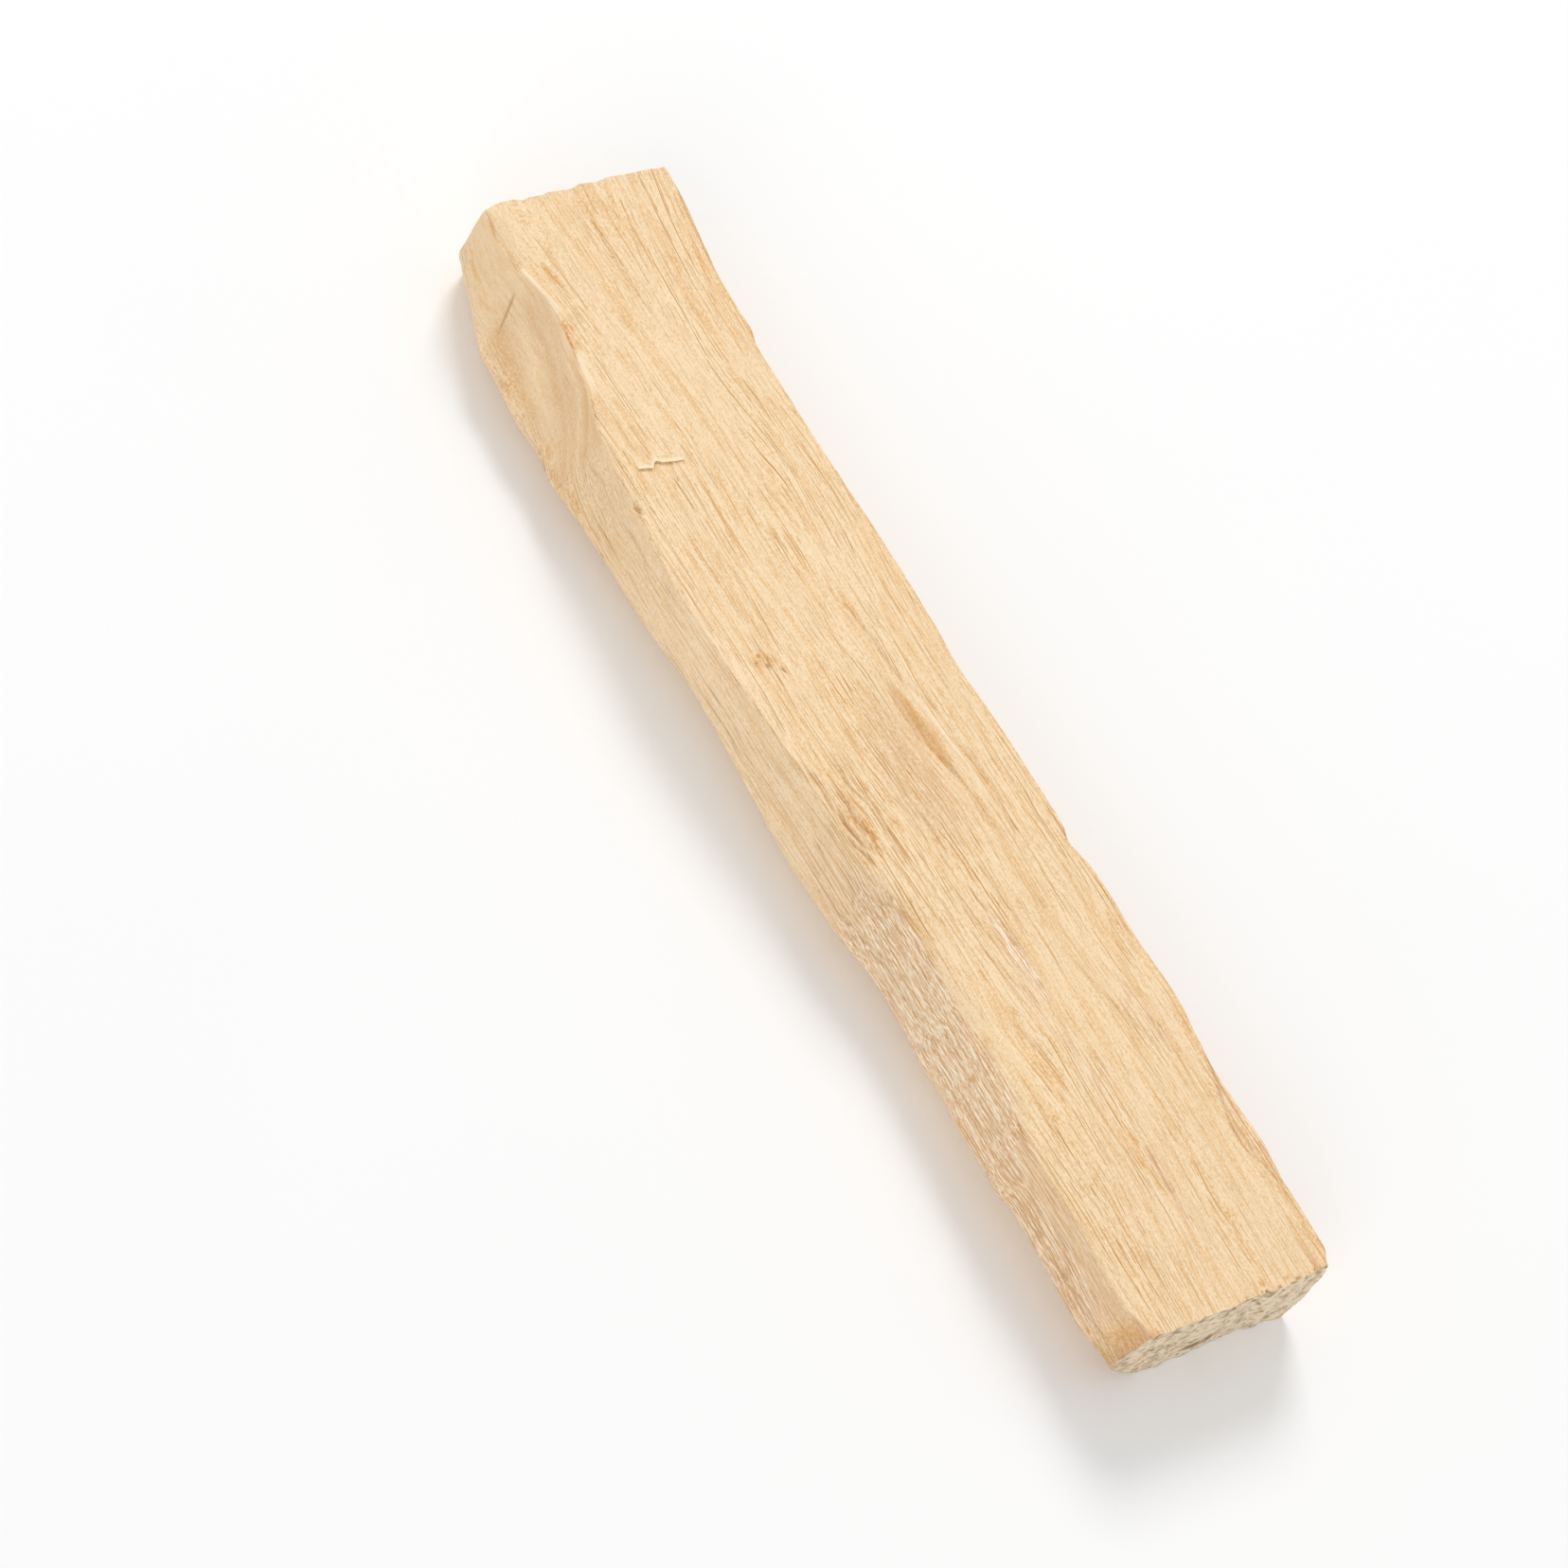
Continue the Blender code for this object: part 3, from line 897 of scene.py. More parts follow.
    # Small breaks behind it, with the same rows
    breaks: Table = (
        (-22.9, -8.35, 0.5, 0.45, 0.22), (-21.5, -8.4, 0.9, 0.45, 0.16),
        (-19.6, -8.5, 0.6, 0.45, 0.14), (-26.9, -7.7, 0.6, 0.45, 0.14))

    # Knife scoop in the carved side: middle x, half length, depth
    carve: Point = (-41.0, 9.5, 0.75)
    # Crest of its upper edge, and where its figure shows, as first x, last x, soft ends
    crest_height: float = 0.10
    crest_run: Point = (-47.0, -36.5, 3.0)
    figure_run: Point = (-45.8, -30.0, 2.0)

    # Groove in the carved side under the wide face's edge
    groove_start: float = 35.0
    groove_full: float = 40.0
    groove_depth: float = 0.35
    groove_height: float = 0.34
    groove_width: float = 0.2

    # How far the sides bulge below and above their widest line
    lower_bow: float = 0.45
    upper_bow: float = 0.25

    # Runs of the carved edge that are worn round: first x, last x, soft ends, radius
    worn_runs: Table = ((12, 34, 3, 1.5), (-44, -30, 4, 0.4))

    # Shelf under the carved edge: first x, last x, soft ends, then z
    shelf_run: Point = (36.5, 52.0, 1.5)
    shelf_height: Pair = (7.8, 8.3)

    # Hollows in the face it lies on: x, y, half length, half width, depth, turn
    foot_hollows: Table = (
        (-49, -3, 9, 4.5, 0.55, 0.18), (-30, 7.5, 9, 3, 0.45, -0.08),
        (-14, -5, 12, 2.6, 0.5, 0.07), (-3, 9, 8, 2.6, 0.4, 0.05), (15, -5, 11, 2.8, 0.45, 0.05),
        (24, 7, 10, 2.4, 0.5, -0.1), (46, 8.5, 7, 3.8, 0.6, 0.12), (42, -3, 8, 2.6, 0.4, 0.06))

    # How far the grain has strayed to the plain side, in tenths: a row for each y and a
    # column for each x, then the first y and x and the steps between them
    grain_rows: Table = (
        (-23, -19, -12, -10, -10, -9, -8, -6, -4, -2, 1, 3, 4, 4, 4, 4, 5, 5, 5),
        (-26, -22, -14, -11, -11, -10, -9, -7, -5, -3, 0, 2, 3, 4, 4, 5, 5, 5, 5),
        (-29, -25, -15, -11, -11, -11, -10, -7, -5, -2, 1, 3, 5, 6, 8, 9, 9, 9, 8),
        (-19, -19, -15, -12, -12, -12, -11, -7, -4, -1, 3, 7, 9, 12, 15, 16, 13, 8, 4),
        (-15, -15, -12, -10, -10, -10, -9, -6, -4, 0, 5, 8, 10, 16, 19, 18, 16, 14, 12),
        (-14, -15, -12, -9, -8, -9, -8, -5, -1, 3, 7, 10, 12, 14, 15, 13, 12, 12, 12),
        (-9, -10, -10, -9, -7, -4, -6, -7, 0, 5, 8, 10, 10, 11, 14, 14, 14, 13, 13),
        (2, -3, -6, -5, -1, 2, 0, -3, -1, 2, 5, 6, 7, 9, 13, 15, 15, 15, 14),
        (8, 0, -5, -4, -1, 2, 1, -1, 0, 1, 3, 4, 7, 9, 12, 14, 15, 15, 15))
    grain_start: Pair = (-8.0, -54.0)
    grain_step: Pair = (2.0, 6.0)

    # Torn lip across the grain: y, x and how high the lip stands
    torn_lip: Table = (
        (-6.1, -28.95, 0), (-5.8, -28.88, 0.08), (-5.2, -28.72, 0.09), (-4.75, -28.55, 0.06),
        (-4.5, -28.85, 0.1), (-4.25, -29, 0.17), (-4, -28.92, 0.1), (-3.75, -28.72, 0.13),
        (-3.3, -28.6, 0.09), (-2.6, -28.42, 0.06), (-2.2, -28.34, 0.07), (-1.9, -28.3, 0.04),
        (-1.6, -28.3, 0))
    torn_run: float = 3.2
    # Corner under its lip where a shadow is painted: x, y, half length, half width
    lip_corner: tuple[float, ...] = (-29.42, -4.25, 0.16, 0.32)

    # Open creases between fibres of the wide face: depth, half width, then x and y along it
    creases: tuple[tuple[float, float, Table], ...] = (
        (0.14, 0.17, ((3.2, 4.35), (5.2, 4.6), (7.3, 4.9), (8.7, 5.1), (10.2, 5.1), (12.3, 5.3))),
        (0.12, 0.15, ((4.8, 4.55), (6, 4.7), (7.6, 4.95))),
        (0.12, 0.15, ((-4.4, 3.4), (-2.4, 3.55), (-0.9, 3.65), (0.6, 3.75), (3, 3.85))),
        (0.09, 0.14, ((-1, 4), (1, 4.1), (2.6, 4.15), (4, 4.4), (5.4, 4.5))),
        (0.1, 0.15, ((-2, 6), (0.4, 6.1), (1.6, 6.15))),
        (0.1, 0.15, ((-0.6, 6.3), (1.6, 6.2), (3.6, 6.2), (5.6, 6.5), (8.2, 6.5))),
        (0.1, 0.15, ((-0.6, 7.6), (1.6, 7.7), (3.6, 7.8))),
        (0.12, 0.17, ((2.6, 6.7), (4.4, 6.8), (6.6, 6.7), (8.4, 6.5))),
        (0.12, 0.17, ((8.4, 6.9), (10.2, 6.7), (12.4, 6.7))),
        (0.12, 0.18, ((-16, 2.95), (-13, 3.5), (-10.5, 4.2), (-8, 4.5), (-4, 4.8), (-2.5, 5.3),
         (0, 5.55))), (0.34, 0.34, ((3.5, -6.4), (5.7, -6.3), (7.7, -5.9), (9.4, -5.4))),
        (0.3, 0.3, ((6.5, -6.9), (8.6, -6.3), (10.4, -6.1))),
        (0.24, 0.26, ((1.5, -5.5), (6, -5.2), (9, -4.6))),
        (0.2, 0.24, ((-1, -6.9), (3, -6.6), (5.5, -6.9))),
        (0.1, 0.17, ((19, -1.7), (22, -1), (25.5, 0.1), (27, 0.4))),
        (0.1, 0.17, ((-49.5, -3.95), (-47.5, -3.5), (-45, -3))),
        (0.1, 0.17, ((-54, 2.75), (-50, 2.35), (-47, 2.35), (-42, 2.65), (-38, 3))),
        (0.1, 0.17, ((37.5, -1.5), (41.5, -2), (46, -2.65), (53, -3.1))),
        (0.08, 0.17, ((29, -4.6), (33, -4.45), (38, -4.3))),
        (0.1, 0.17, ((17, 5.35), (18.2, 5.3), (19.4, 5))),
        (0.09, 0.17, ((-20.2, 5.05), (-19, 4.8), (-18, 4.6))),
        (0.08, 0.17, ((1, -0.75), (4.5, -0.4), (8, -0.1), (13, 0.25))))

    # Short crack across the carved side: z, x
    crack: Table = (
        (5.2, -46.15), (5.9, -46.7), (6.7, -47.25), (7.9, -47.9), (8.3, -48.05))
    crack_width: float = 0.17
    crack_depth: float = 0.05

    # Brown and cream figure of the knife scoop: how its streaks fall along x, and how brown
    # each one is by its height where they are level
    figure_fall: Table = (
        (-55, 2.6), (-48, 1.5), (-46, 1.2), (-38, 0), (-35, -0.8), (-32, -2.1), (-30, -3),
        (-27, -3.8), (-22, -4.3), (55, -4.3))
    figure: Table = (
        (3.2, 0.3), (4.3, 0.8), (4.9, 0.2), (5.5, -0.4), (6.3, 0), (6.9, 0.75), (7.25, 0.25),
        (8, 0.2), (8.5, -0.45), (9, 0.2), (9.4, 0.7), (10, 0.1), (10.8, 0.5))

    # Orange stains of the wide face: x, y, half length, half width, strength
    stains: Table = (
        (-50.5, 10.6, 3.6, 0.4, 0.45), (-44.6, 9.4, 2.2, 0.32, 0.8), (-40.8, 9.5, 1.2, 0.28, 0.7),
        (-38, 9.5, 1.2, 0.25, 0.5), (-51.6, 2.6, 3.2, 0.28, 0.8), (-46, 2.4, 3.5, 0.16, 0.5),
        (-45.3, 7.1, 1.6, 0.3, 0.7), (-43.8, 6.6, 0.9, 0.25, 0.7), (-40.4, 6.8, 2.6, 0.22, 0.5),
        (-47.2, -3.5, 2.4, 0.25, 0.7), (-42.2, -4.8, 2, 0.55, 1.3), (-40.5, -3.3, 2, 0.3, 0.3),
        (-38.8, 3, 1.4, 0.16, 0.6), (-51, 4, 2.5, 0.2, 0.3), (-48.5, 1.5, 3, 0.2, 0.3),
        (-28.6, 8.3, 0.3, 0.5, 0.5), (-24.5, 1.8, 3, 0.2, 0.5), (-19.5, 1.6, 0.9, 0.25, 0.6),
        (-22.5, 8.5, 1.8, 0.3, 0.5), (-12, 9.6, 1.5, 0.3, 0.5), (-20.5, -1.8, 1.4, 0.2, 0.5),
        (-18, -5.1, 1.2, 0.22, 0.7), (-16, -4.9, 1.2, 0.16, 0.6), (-13, -4.3, 0.35, 0.2, 0.9),
        (-9.6, -5.2, 1.1, 0.9, 0.9), (-25.6, -7.8, 1, 0.45, 1.4), (-24.4, -7.9, 0.5, 0.2, 1),
        (-23.1, -8.25, 0.5, 0.2, 0.8), (-2.8, 3.85, 1, 0.3, 0.6), (-2, 5.4, 1.2, 0.14, 0.6),
        (-0.7, 6, 0.9, 0.18, 0.7), (-11.5, 4.1, 1.6, 0.15, 0.5), (-12.5, -2.5, 2, 0.3, 0.3),
        (6, 6.6, 1.6, 0.35, 0.6), (8.3, 6.7, 1.2, 0.3, 0.6), (9.4, 7.1, 0.8, 0.2, 0.5),
        (8.9, 5.1, 1.9, 0.22, 0.8), (7.5, 2.9, 0.8, 0.25, 0.7), (10.3, 2.8, 2, 0.14, 0.5),
        (4.8, 0.5, 2, 0.25, 0.5), (9.9, -0.1, 0.6, 0.22, 0.7), (3.5, -3.2, 0.9, 0.25, 0.9),
        (7.5, -2.6, 1.3, 0.35, 0.7), (5, -1.8, 1.4, 0.2, 0.6), (6.8, -5, 1.8, 0.4, 1),
        (5.6, -5.6, 1.2, 0.3, 1), (8.5, -5.2, 1.2, 0.25, 0.9), (9, -6.5, 1.2, 0.3, 0.8),
        (17.5, 3.3, 1.6, 0.16, 0.6), (18.2, 5.1, 1.2, 0.14, 0.7), (16.3, 6, 0.9, 0.15, 0.5),
        (22, 10.1, 1.2, 0.35, 0.6), (24, 9.4, 0.9, 0.2, 0.5), (25.4, -1.9, 0.7, 0.18, 0.9),
        (21.7, -2.7, 1.3, 0.15, 0.7), (21.4, -3.95, 0.5, 0.15, 0.6), (26.4, -5.5, 0.5, 0.22, 1),
        (37.9, 9.9, 1.4, 0.35, 0.6), (42.4, 9.8, 1.8, 0.3, 0.6), (47.5, 10.5, 2.5, 0.35, 0.6),
        (51.5, 10.5, 2.5, 0.35, 0.7), (33.5, 9.1, 0.5, 0.2, 0.8), (38.6, 1.15, 1.3, 0.25, 1),
        (40.6, 0.8, 1.2, 0.28, 1), (42.8, 0.8, 0.5, 0.2, 0.7), (31.2, 2.1, 1.4, 0.3, 0.6),
        (43.2, 3.8, 1.6, 0.4, 0.5), (47.6, 5.2, 1.4, 0.25, 0.7), (36.3, 6.7, 0.6, 0.25, 0.5),
        (34.7, -4, 0.5, 0.22, 0.7), (31.8, -1.2, 1.5, 0.14, 0.6), (48, 0, 0.7, 0.25, 0.6),
        (53.5, 4.3, 0.5, 0.25, 1), (54, 6.4, 0.4, 0.4, 0.8), (53.5, -6.7, 0.9, 0.6, 0.9))
    # Cream chips of the wide face, and painted highlights on its crests and edges, with the same
    # rows
    chips: Table = (
        (-24.9, -7.6, 0.5, 0.18, 0.6), (-29.4, -7.75, 1.2, 0.14, 0.6),
        (-38.5, -5.6, 2.2, 0.2, 0.7), (-45.9, -4.75, 1.6, 0.2, 0.6), (-10, -7.6, 6, 0.2, 0.3),
        (43.8, 0.4, 3, 0.12, 0.6), (20, -3.3, 3, 0.1, 0.4))
    # Silvery glints of the wide face, with the same rows
    glints: Table = (
        (21.5, 0.9, 6.5, 0.6, 0.9), (26, -0.2, 4, 0.4, 0.5), (31.5, 8.2, 3, 0.35, 0.7),
        (31.5, 0.9, 4, 0.4, 0.5), (44, 1.6, 6.5, 0.35, 0.8), (35.2, 5.9, 1, 0.35, 0.7),
        (27, 7.6, 2, 0.4, 0.4))
    # Where the wide face has more thin lines or fewer, with the same rows
    lined_spots: Table = (
        (10, -3, 12, 4.5, 0.5), (15, -0.8, 10, 2.4, 0.5), (6, -4.5, 6, 2.5, 0.6),
        (-14, 0.5, 10, 4.5, 0.05), (40, -3.5, 14, 2.2, 0.35), (27, -4.2, 6, 2, -0.8),
        (26.5, 4.3, 5, 1.6, -0.8), (46.5, 8.2, 4.5, 1.6, -0.7), (-36, -3, 6, 1.6, -0.5),
        (-26, 2, 9, 4, -0.3), (-47, 3, 8, 3.5, 0.3), (34, 4.5, 5, 2, 0.3),
        (-22, 6.5, 8, 2.5, -0.2), (-12, 0, 9, 4, -0.25), (-53, -2.5, 3.5, 4, -0.6),
        (-40, -2.6, 5, 1.6, -0.5))
    # Brown stains of the carved side: x, z, half length, half height, strength
    side_stains: Table = (
        (-52.2, 6.1, 2.6, 0.5, 0.9), (-41.8, 4.2, 0.9, 0.5, 1), (-40.3, 4.8, 1.6, 0.35, 0.8),
        (-35.1, 4.5, 0.8, 0.5, 1), (-33, 4.2, 1.8, 0.4, 0.9), (-30.2, 4.6, 2.4, 0.5, 0.9),
        (-27, 4.6, 2, 0.35, 0.7), (52.2, 7.6, 2, 2.3, 1), (44.5, 6, 5, 0.5, 0.6),
        (22.5, 6, 5, 0.35, 0.7), (32, 5.2, 5, 0.4, 0.7))

    # Where the silky fibres of the carved side end on the wide face: x, y
    silk_edge: Table = (
        (8, -6.9), (12, -6.3), (18, -5.9), (24, -5.8), (31, -5.85), (33.2, -6.2), (35.6, -6.9),
        (38, -7.8), (52, -8))
    # Where they begin and end on the carved side
    silk_start: Pair = (6.0, 15.0)
    silk_end: Pair = (47.5, 52.5)

    # Inner edge of the rough band where the plain edge has torn: x, y
    torn_edge: Table = (
        (31, 11.2), (36.4, 10.7), (39, 10), (42.4, 9.4), (43.9, 9.6), (44.9, 10), (46.4, 10.3),
        (48.5, 10.9))
    torn_depth: float = 0.16
    torn_width: float = 0.17
    # Where the band and its dark line lie: first x, last x, soft ends
    torn_run_x: Point = (34.0, 46.5, 2.0)
    torn_line_x: Point = (35.5, 46.5, 1.5)

    # Small holes in the wide face, with brown shade painted in them: x, y, half size, depth,
    # darkness
    pits: Table = (
        (-10.2, -5.3, 0.2, 0.08, 0.7), (-9.6, -4.7, 0.17, 0.06, 0.6),
        (-9.7, -5.8, 0.18, 0.08, 0.7), (-9.1, -5, 0.26, 0.08, 0.75), (-8.2, -4, 0.15, 0.25, 1),
        (-10.6, -4.9, 0.13, 0.05, 0.5), (24.8, -4.8, 0.15, 0.25, 1),
        (24.4, -4.65, 0.12, 0.05, 0.5))

    # Patches of the wide face: x, y, half length, half width
    broken_out: tuple[float, ...] = (-25.8, -7.75, 0.55, 0.26)
    ragged: tuple[float, ...] = (5.5, -4.6, 6.5, 3.2)
    # painted shade in the hollow beside the dent
    valley_shade: tuple[float, ...] = (4.0, 1.4, 9.0, 3.4)

    # Dark marks of the sawn end: y, z, half width, half height
    low_mark: tuple[float, ...] = (0.7, 1.7, 2.6, 0.8)
    end_marks: Table = ((-5, 5.5, 1, 0.5), (-7.3, 6, 0.9, 0.4))

    carved_seed: float = 71.0
    plain_seed: float = 72.0

    # Slits of each face: seed, count, and where they lie across the grain
    wide_slits: tuple[float, ...] = (7, 5, -9.0, 12.0)
    carved_slits: tuple[float, ...] = (8, 46, 0.3, 8.6)
    plain_slits: tuple[float, ...] = (9, 60, 0.3, 9.0)
    foot_slits: tuple[float, ...] = (10, 60, -8.0, 11.0)
    slit_reach: Pair = (-54.0, 54.0)     # where they lie along the stick
    slit_run: Pair = (1.0, 3.0)          # roots of twice their half lengths
    slit_width: Pair = (0.17, 0.26)      # their half widths

    def section(self, x: Array, across: Array, height: Array) -> tuple[Array, ...]:
        """y and z in the cross-section at x, filled in between its two sides.

        Args:
            x: places along the stick.
            across: shares from the carved side to the plain side.
            height: shares from the foot to the wide face.

        Returns:
            y and z at each place.
        """
        walls = (self.wall(x, height, *lines) for lines in (
            (self.carved_foot, self.carved_belly, self.carved_edge),
            (self.plain_foot, self.plain_belly, self.plain_edge)))
        return tuple(mix(left, right, across) for left, right in zip(*walls))

    def wall(self, x: Array, height: Array, foot: Table, belly: Table,
             edge: Table) -> tuple[Array, Array]:
        """A side's y and z at each height from 0 at the foot, past 0.5 at the belly, to 1.

        Args:
            x: places along the stick.
            height: shares up the side.
            foot: the side's lower edge.
            belly: its widest line.
            edge: its upper edge.

        Returns:
            y and z at each place.
        """
        lower, upper = np.clip(height * 2.0, 0.0, 1.0), np.clip(height * 2.0 - 1.0, 0.0, 1.0)
        bow = 4.0 * (self.lower_bow * lower * (1.0 - lower)
                     + self.upper_bow * upper * (1.0 - upper))
        out = smooth_line(belly, x)
        y = mix(mix(smooth_line(foot, x), out, lower), smooth_line(edge, x), upper)
        z = mix(mix(0.0, smooth_line(belly, x, 2), lower), self.thickness, upper)
        return y + bow * np.sign(out), z

    def strayed(self, x: Array, y: Array) -> Array:
        """How far the grain at each place has strayed across the stick.

        Args:
            x: places along the stick.
            y: places across it.

        Returns:
            How far the grain lies from a straight line there.
        """
        table = 0.1 * np.pad(np.array(self.grain_rows, float), 2, mode="edge")
        v, u = (np.clip((value - start) / size, 0.0, count - 5.01) for value, start, size, count
                in zip((y, x), self.grain_start, self.grain_step, table.shape))
        column, row = np.floor(u).astype(int), np.floor(v).astype(int)
        total = np.zeros_like(x)
        for i, across in enumerate(cubic(v - row)):
            for j, along in enumerate(cubic(u - column)):
                total += across * along * table[row + 1 + i, column + 1 + j]
        return total

    def scooped(self, x: Array, y: Array, table: Table) -> Array:
        """Depth of a set of lens-shaped hollows.

        Args:
            x: places along the stick.
            y: places across it.
            table: the hollows.

        Returns:
            The depth at each place.
        """
        depth = np.zeros_like(x)
        for middle_x, middle_y, half_length, half_width, deep, turn in table:
            ahead, beside = x - middle_x, y - middle_y
            along = ahead * math.cos(turn) + beside * math.sin(turn)
            aside = beside * math.cos(turn) - ahead * math.sin(turn)
            depth += deep * lens(along, aside, half_length, half_width)
        return depth

    def ledged(self, x: Array, y: Array, table: Table) -> tuple[Array, Array]:
        """Depth below a set of split ledges, and how near each point is to a lip's foot, where
        shade is painted.

        Args:
            x: places along the stick.
            y: places across it.
            table: the ledges.

        Returns:
            The depth at each place, and how near it is to a lip's foot, for its painted shade.
        """
        depth, lips = np.zeros_like(x), np.zeros_like(x)
        for row, (x0, y0, x1, y1, fall, reach) in enumerate(table):
            run = np.clip((x - x0) / (x1 - x0), 0.0, 1.0)
            lip = mix(y0, y1, run) + 0.22 * noise(x / 2.6, np.full_like(x, 0.5), 40.0 + row)
            under = lip - y
            below = step(under, 0.0, self.lip_width) * (1.0 - step(under, 0.5 * reach, reach))
            within = (step(x, x0, x0 + self.ledge_rise)
                      * (1.0 - step(x, x1 - self.ledge_stop, x1)))
            depth += fall * below * within
            foot = lens(under - self.lip_width, 0.0, self.lip_foot, 1.0) ** 2
            lips = np.maximum(lips, within * foot * min(1.0, 4.0 * fall))
        return depth, lips

    def dented(self, x: Array, y: Array) -> tuple[Array, Array, Array]:
        """Depth of the curved dent, where its smooth wall shows, and the ridge beside it.

        Args:
            x: places along the stick.
            y: places across it.

        Returns:
            The depth, how much the wall is seen, and the ridge.
        """
        upper, lower = smooth_line(self.dent_upper, x), smooth_line(self.dent_lower, x)
        wall = np.maximum(upper - lower, self.least_wall)
        inward = (upper - y) / wall
        profile = step(inward, 0.0, 1.0) * (1.0 - step(upper - y, wall, self.dent_reach))
        ends = step(x, *self.dent_start) * (1.0 - step(x, *self.dent_end))
        half, high = self.ridge_size
        ridge = near_line(y - smooth_line(self.dent_ridge, x), half) * band(x, *self.ridge_run)
        seen = step(inward, -0.05, 0.2) * (1.0 - step(inward, 0.9, 1.1)) * band(x, *self.wall_run)
        return self.dent_depth * profile * ends - high * ridge, seen, ridge

    def spotted(self, x: Array, bent: Array, table: Table) -> Array:
        """Strength of a table's patches, which follow the grain and break up in it.

        Args:
            x: places along the stick.
            bent: places across the grain.
            table: the patches.

        Returns:
            The strength at each place.
        """
        total = np.zeros_like(x)
        for px, py, long_, wide_, strong in table:
            near = np.abs(x - px) < long_
            middle = py - self.strayed(*np.array([[px], [py]], float))[0]
            patch = spot(x[near], bent[near], px, middle, long_, 1.5 * wide_)
            total[near] = np.maximum(total[near], strong * np.minimum(1.0, 2.2 * patch))
        broken = step(noise(x / 1.6, bent / 0.2, 59.0) + 0.4 * noise(x / 0.3, bent / 0.15, 60.0),
                      -0.7, 0.3)
        return total * (0.35 + 0.65 * broken)

    def creased(self, x: Array, y: Array) -> tuple[Array, Array]:
        """Depth of the open creases, and how deep in one each point lies, for the shade painted
        in them.

        Args:
            x: places along the stick.
            y: places across it.

        Returns:
            The depth, and how deep in a crease each place lies.
        """
        depth, seen = np.zeros_like(x), np.zeros_like(x)
        for deep, half, line in self.creases:
            start, stop = line[0][0], line[-1][0]
            soft = 0.3 * (stop - start)
            gap = y - smooth_line(line, x) - 0.1 * wave(x / 1.1, deep * 90.0)
            inside = band(x, start + soft, stop - soft, soft) * near_line(gap, half)
            depth = np.maximum(depth, deep * inside)
            seen = np.maximum(seen, inside ** 1.5 * min(1.0, 2.8 * deep + 0.2))
        return depth, seen

    def notched(self, x: Array, y: Array) -> Array:
        """Depth of the broken-out notch and the small breaks behind it.

        Args:
            x: places along the stick.
            y: places across it.

        Returns:
            The depth at each place.
        """
        mx, my, hx, hy, deep = self.notch
        ragged = 0.25 * noise(x / 0.7, y / 0.35, 51.0)
        hole = deep
        for gap in (np.abs(x - mx) / hx + ragged, np.abs(y - my) / hy + ragged):
            hole = hole * (1.0 - step(gap, 0.6, 1.1))
        for *at, low in self.breaks:
            hole = hole + low * spot(x, y, *at)
        return hole

    def torn(self, x: Array, y: Array) -> tuple[Array, Array, Array]:
        """Height of the torn flake's raised end, the painted shadow under its lip, and the lip's
        painted highlight.

        Args:
            x: places along the stick.
            y: places across it.

        Returns:
            The flake's height, the painted shadow under its lip, and the lip's painted highlight.
        """
        before = smooth_line(self.torn_lip, y) - x
        tall = smooth_line(self.torn_lip, y, 2)
        tall = tall * (y > self.torn_lip[0][0]) * (y < self.torn_lip[-1][0])
        within = np.minimum(1.0, 12.0 * tall)
        rise = step(before, -0.03, 0.12) * (1.0 - step(before, 0.4, self.torn_run))
        sunk = within * (1.0 - step(before, 0.0, 0.12)) * (1.0 - step(-before, 0.4, 2.4))
        under = np.maximum(within * near_line(before + 0.12, 0.30),
                           spot(x, y, *self.lip_corner) ** 0.5)
        return tall * rise - 0.02 * sunk, under, within * near_line(before - 0.25, 0.25)

    def ridged(self, x: Array, across: Array, seed: float) -> Array:
        """Height of the fibre ridges and the slow swells under them."""
        return (0.02 * noise(x / 17.0, across / 1.7, seed)
                + 0.15 * noise(x / 24.0, across / 6.0, seed + 9.0))

    def strips(self, along: Array, across: Array, seed: float) -> Array:
        """Height of overlapping fibre strips, each with a slow rise and a sharp edge.

        Args:
            along: places along the grain.
            across: places across the grain.
            seed: which pattern of strips it is.

        Returns:
            The height at each place.
        """
        total = np.zeros_like(along)
        for width, run, high, shift in ((1.15, 15.0, 0.007, 0.0), (0.62, 9.0, 0.005, 5.0)):
            bent = across / width + 0.8 * noise(along / run, across / 2.4, seed + shift)
            gate = step(noise(along / (0.7 * run), across / (1.6 * width), seed + shift + 3.0),
                        -0.15, 0.5)
            total += high * gate * (bent - np.floor(bent) - 0.5)
        return total + 0.006 * noise(along / 3.0, across / 0.4, seed + 11.0)

    def slits(self, along: Array, across: Array, seed: int, count: int,
              low: float, high: float) -> Array:
        """Draw thin open slits between the fibres.

        Args:
            along: place along the grain.
            across: place across it.
            seed: start of the random draws.
            count: how many slits there are.
            low: where they start across the grain.
            high: where they end across it.

        Returns:
            0 outside the slits to 1 in the middle of one.
        """
        draw = np.random.default_rng(seed)
        open_ = np.zeros_like(along)
        for _ in range(count):
            x0, y0 = draw.uniform(*self.slit_reach), draw.uniform(low, high)
            half = 0.5 * draw.uniform(*self.slit_run) ** 2
            width = draw.uniform(*self.slit_width)
            near = np.abs(along - x0) < half
            offset = (along[near] - x0) / half
            inside = near_line(across[near] - y0 - 0.05 * np.sin(2.5 * offset), width)
            open_[near] = np.maximum(open_[near], inside * np.sqrt(1.0 - offset ** 2))
        return open_

    def rounded(self, gap: Array, x: Array, seed: float) -> Array:
        """How far a side falls back at a distance from its sharp edge."""
        radius = 0.20 + 0.10 * wave(x / 4.0, seed) + 0.07 * wave(x / 0.9, seed)
        return 0.45 * radius * near_line(gap, radius) ** 2

